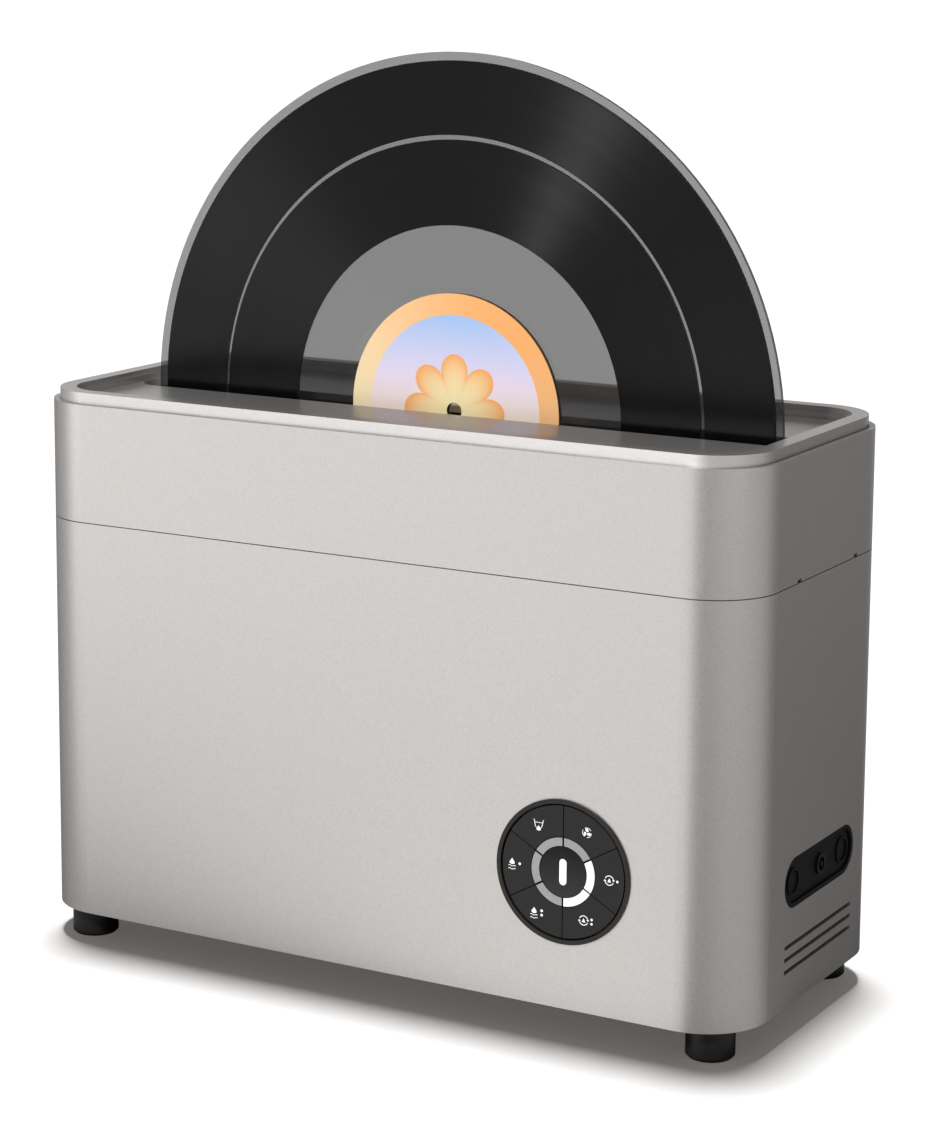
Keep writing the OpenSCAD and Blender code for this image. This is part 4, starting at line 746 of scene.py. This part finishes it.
# The painted light is raised by a gain above what a pale floor could give back.
faded = vector_node(floor_pale, "MULTIPLY", painted_light_by_bearing.outputs["Color"], painted_falloff.outputs["Color"])
raised = place(floor_pale, "ShaderNodeVectorMath", {"operation": "SCALE", "Scale": PAINTED_LIGHT_GAIN},
               {"Vector": faded})
painted_light_floor = place(floor_pale, "ShaderNodeBsdfDiffuse", (), {"Color": raised.outputs[0]})
seen = place(floor_pale, "ShaderNodeLightPath")
either = place(floor_pale, "ShaderNodeMixShader")
floor_nodes, floor_links = floor_pale.node_tree.nodes, floor_pale.node_tree.links
floor_links.new(seen.outputs["Is Camera Ray"], either.inputs[0])
floor_links.new(painted_light_floor.outputs[0], either.inputs[1])
floor_links.new(floor_nodes["Principled BSDF"].outputs[0], either.inputs[2])
floor_links.new(either.outputs[0], floor_nodes["Material Output"].inputs["Surface"])
floor_mesh.materials.append(floor_pale)

# What each light falls on: the sun on the floor alone, the soft boxes on all but the
# floor, and one box on the tray alone
floor_lit = bpy.data.collections.new("floor_lit")
floor_spared = bpy.data.collections.new("floor_spared")
for share in (floor_lit, floor_spared):
    share.objects.link(floor)
floor_spared.collection_objects[0].light_linking.link_state = "EXCLUDE"
tray_lit = bpy.data.collections.new("tray_lit")
tray_lit.objects.link(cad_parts["deck_tray"])

room = bpy.data.worlds.new("room")
bpy.context.scene.world = room
room.use_nodes = True
DIM, WHITE = (0.10, 0.099, 0.097, 1), (1, 1, 1, 1)
seen = place(room, "ShaderNodeLightPath")
shade = place(room, "ShaderNodeMix", {"data_type": "RGBA"})
shade.inputs["A"].default_value, shade.inputs["B"].default_value = DIM, WHITE
room.node_tree.links.new(seen.outputs["Is Camera Ray"], shade.inputs["Factor"])
room.node_tree.links.new(shade.outputs["Result"],
                         room.node_tree.nodes["Background"].inputs["Color"])


def soft_box(name, at, toward, wide, high, watts, lights=floor_spared):
    """A rectangular studio light that faces a point."""
    light = bpy.data.lights.new(name, "AREA")
    light.shape = "RECTANGLE"
    light.size, light.size_y, light.energy = wide, high, watts
    box = bpy.data.objects.new(name, light)
    box.location = at
    box.rotation_euler = (Vector(toward) - Vector(at)).to_track_quat("-Z", "Y").to_euler()
    box.visible_camera = False
    box.light_linking.receiver_collection = lights
    bpy.context.collection.objects.link(box)


def stands_at(azimuth, away, height):
    """A place on the floor plan, measured from the front round to the right, in degrees."""
    turn = math.radians(azimuth)
    return (away * math.sin(turn), -away * math.cos(turn), height)


MIDDLE, TRAY_RIGHT = (0, 0, 0.3), (0.1, 0, 0.24)
soft_box("left_box", stands_at(-50, 2.2, 0.42), MIDDLE, wide=0.16, high=0.5, watts=3.0)
soft_box("fill_box", stands_at(50, 1.05, 0.45), MIDDLE, wide=1.15, high=0.9, watts=0.7)
soft_box("high_box", stands_at(-6, 1.76, 1.62), MIDDLE, wide=0.3, high=0.3, watts=33.0)
soft_box("back_box", stands_at(-140, 1.5, 0.45), MIDDLE, wide=1.9, high=0.6, watts=4.2)
soft_box("tray_box", stands_at(-4, 1.35, 0.6), TRAY_RIGHT, wide=0.5, high=0.4, watts=8.0,
         lights=tray_lit)
soft_box("top_box", (0, 0.2, 2.2), MIDDLE, wide=3.2, high=3.2, watts=27.0)
sun = bpy.data.lights.new("overhead", "SUN")
sun.angle, sun.energy = math.radians(9), 3.35
overhead = bpy.data.objects.new("overhead", sun)
overhead.rotation_euler = (math.radians(-4.5), math.radians(-3), 0)
overhead.light_linking.receiver_collection = floor_lit
bpy.context.collection.objects.link(overhead)

# Camera. It stands to the right of the front and looks slightly down, as the
# photograph does, with the frame moved a little down on the lens.
F_PIXELS, LONG_SIDE, PIXELS_DOWN = 3084.306, 1130.0, -115.0
AZIMUTH, ELEVATION, ROLL, DISTANCE = (math.radians(29.410), math.radians(9.954),
                                      math.radians(0.410), 1.30596)
TARGET = Vector((0.00376, 0.0, 0.22205))
lens = bpy.data.cameras.new("camera")
lens.sensor_width = 36.0
lens.lens = F_PIXELS / LONG_SIDE * lens.sensor_width
lens.shift_y = PIXELS_DOWN / LONG_SIDE
lens.clip_end = 50.0
camera = bpy.data.objects.new("camera", lens)
back_way = Vector((math.sin(AZIMUTH) * math.cos(ELEVATION),
                   -math.cos(AZIMUTH) * math.cos(ELEVATION), math.sin(ELEVATION)))
right_way = (-back_way).cross(Vector((0, 0, 1))).normalized()
up_way = right_way.cross(-back_way)
roll_right = math.cos(ROLL) * right_way + math.sin(ROLL) * up_way
roll_up = -math.sin(ROLL) * right_way + math.cos(ROLL) * up_way
turned_to = Matrix((roll_right, roll_up, back_way)).transposed().to_4x4()
camera.matrix_world = Matrix.Translation(TARGET + back_way * DISTANCE) @ turned_to
bpy.context.collection.objects.link(camera)
bpy.context.scene.camera = camera
bpy.context.scene.view_settings.view_transform = "Standard"
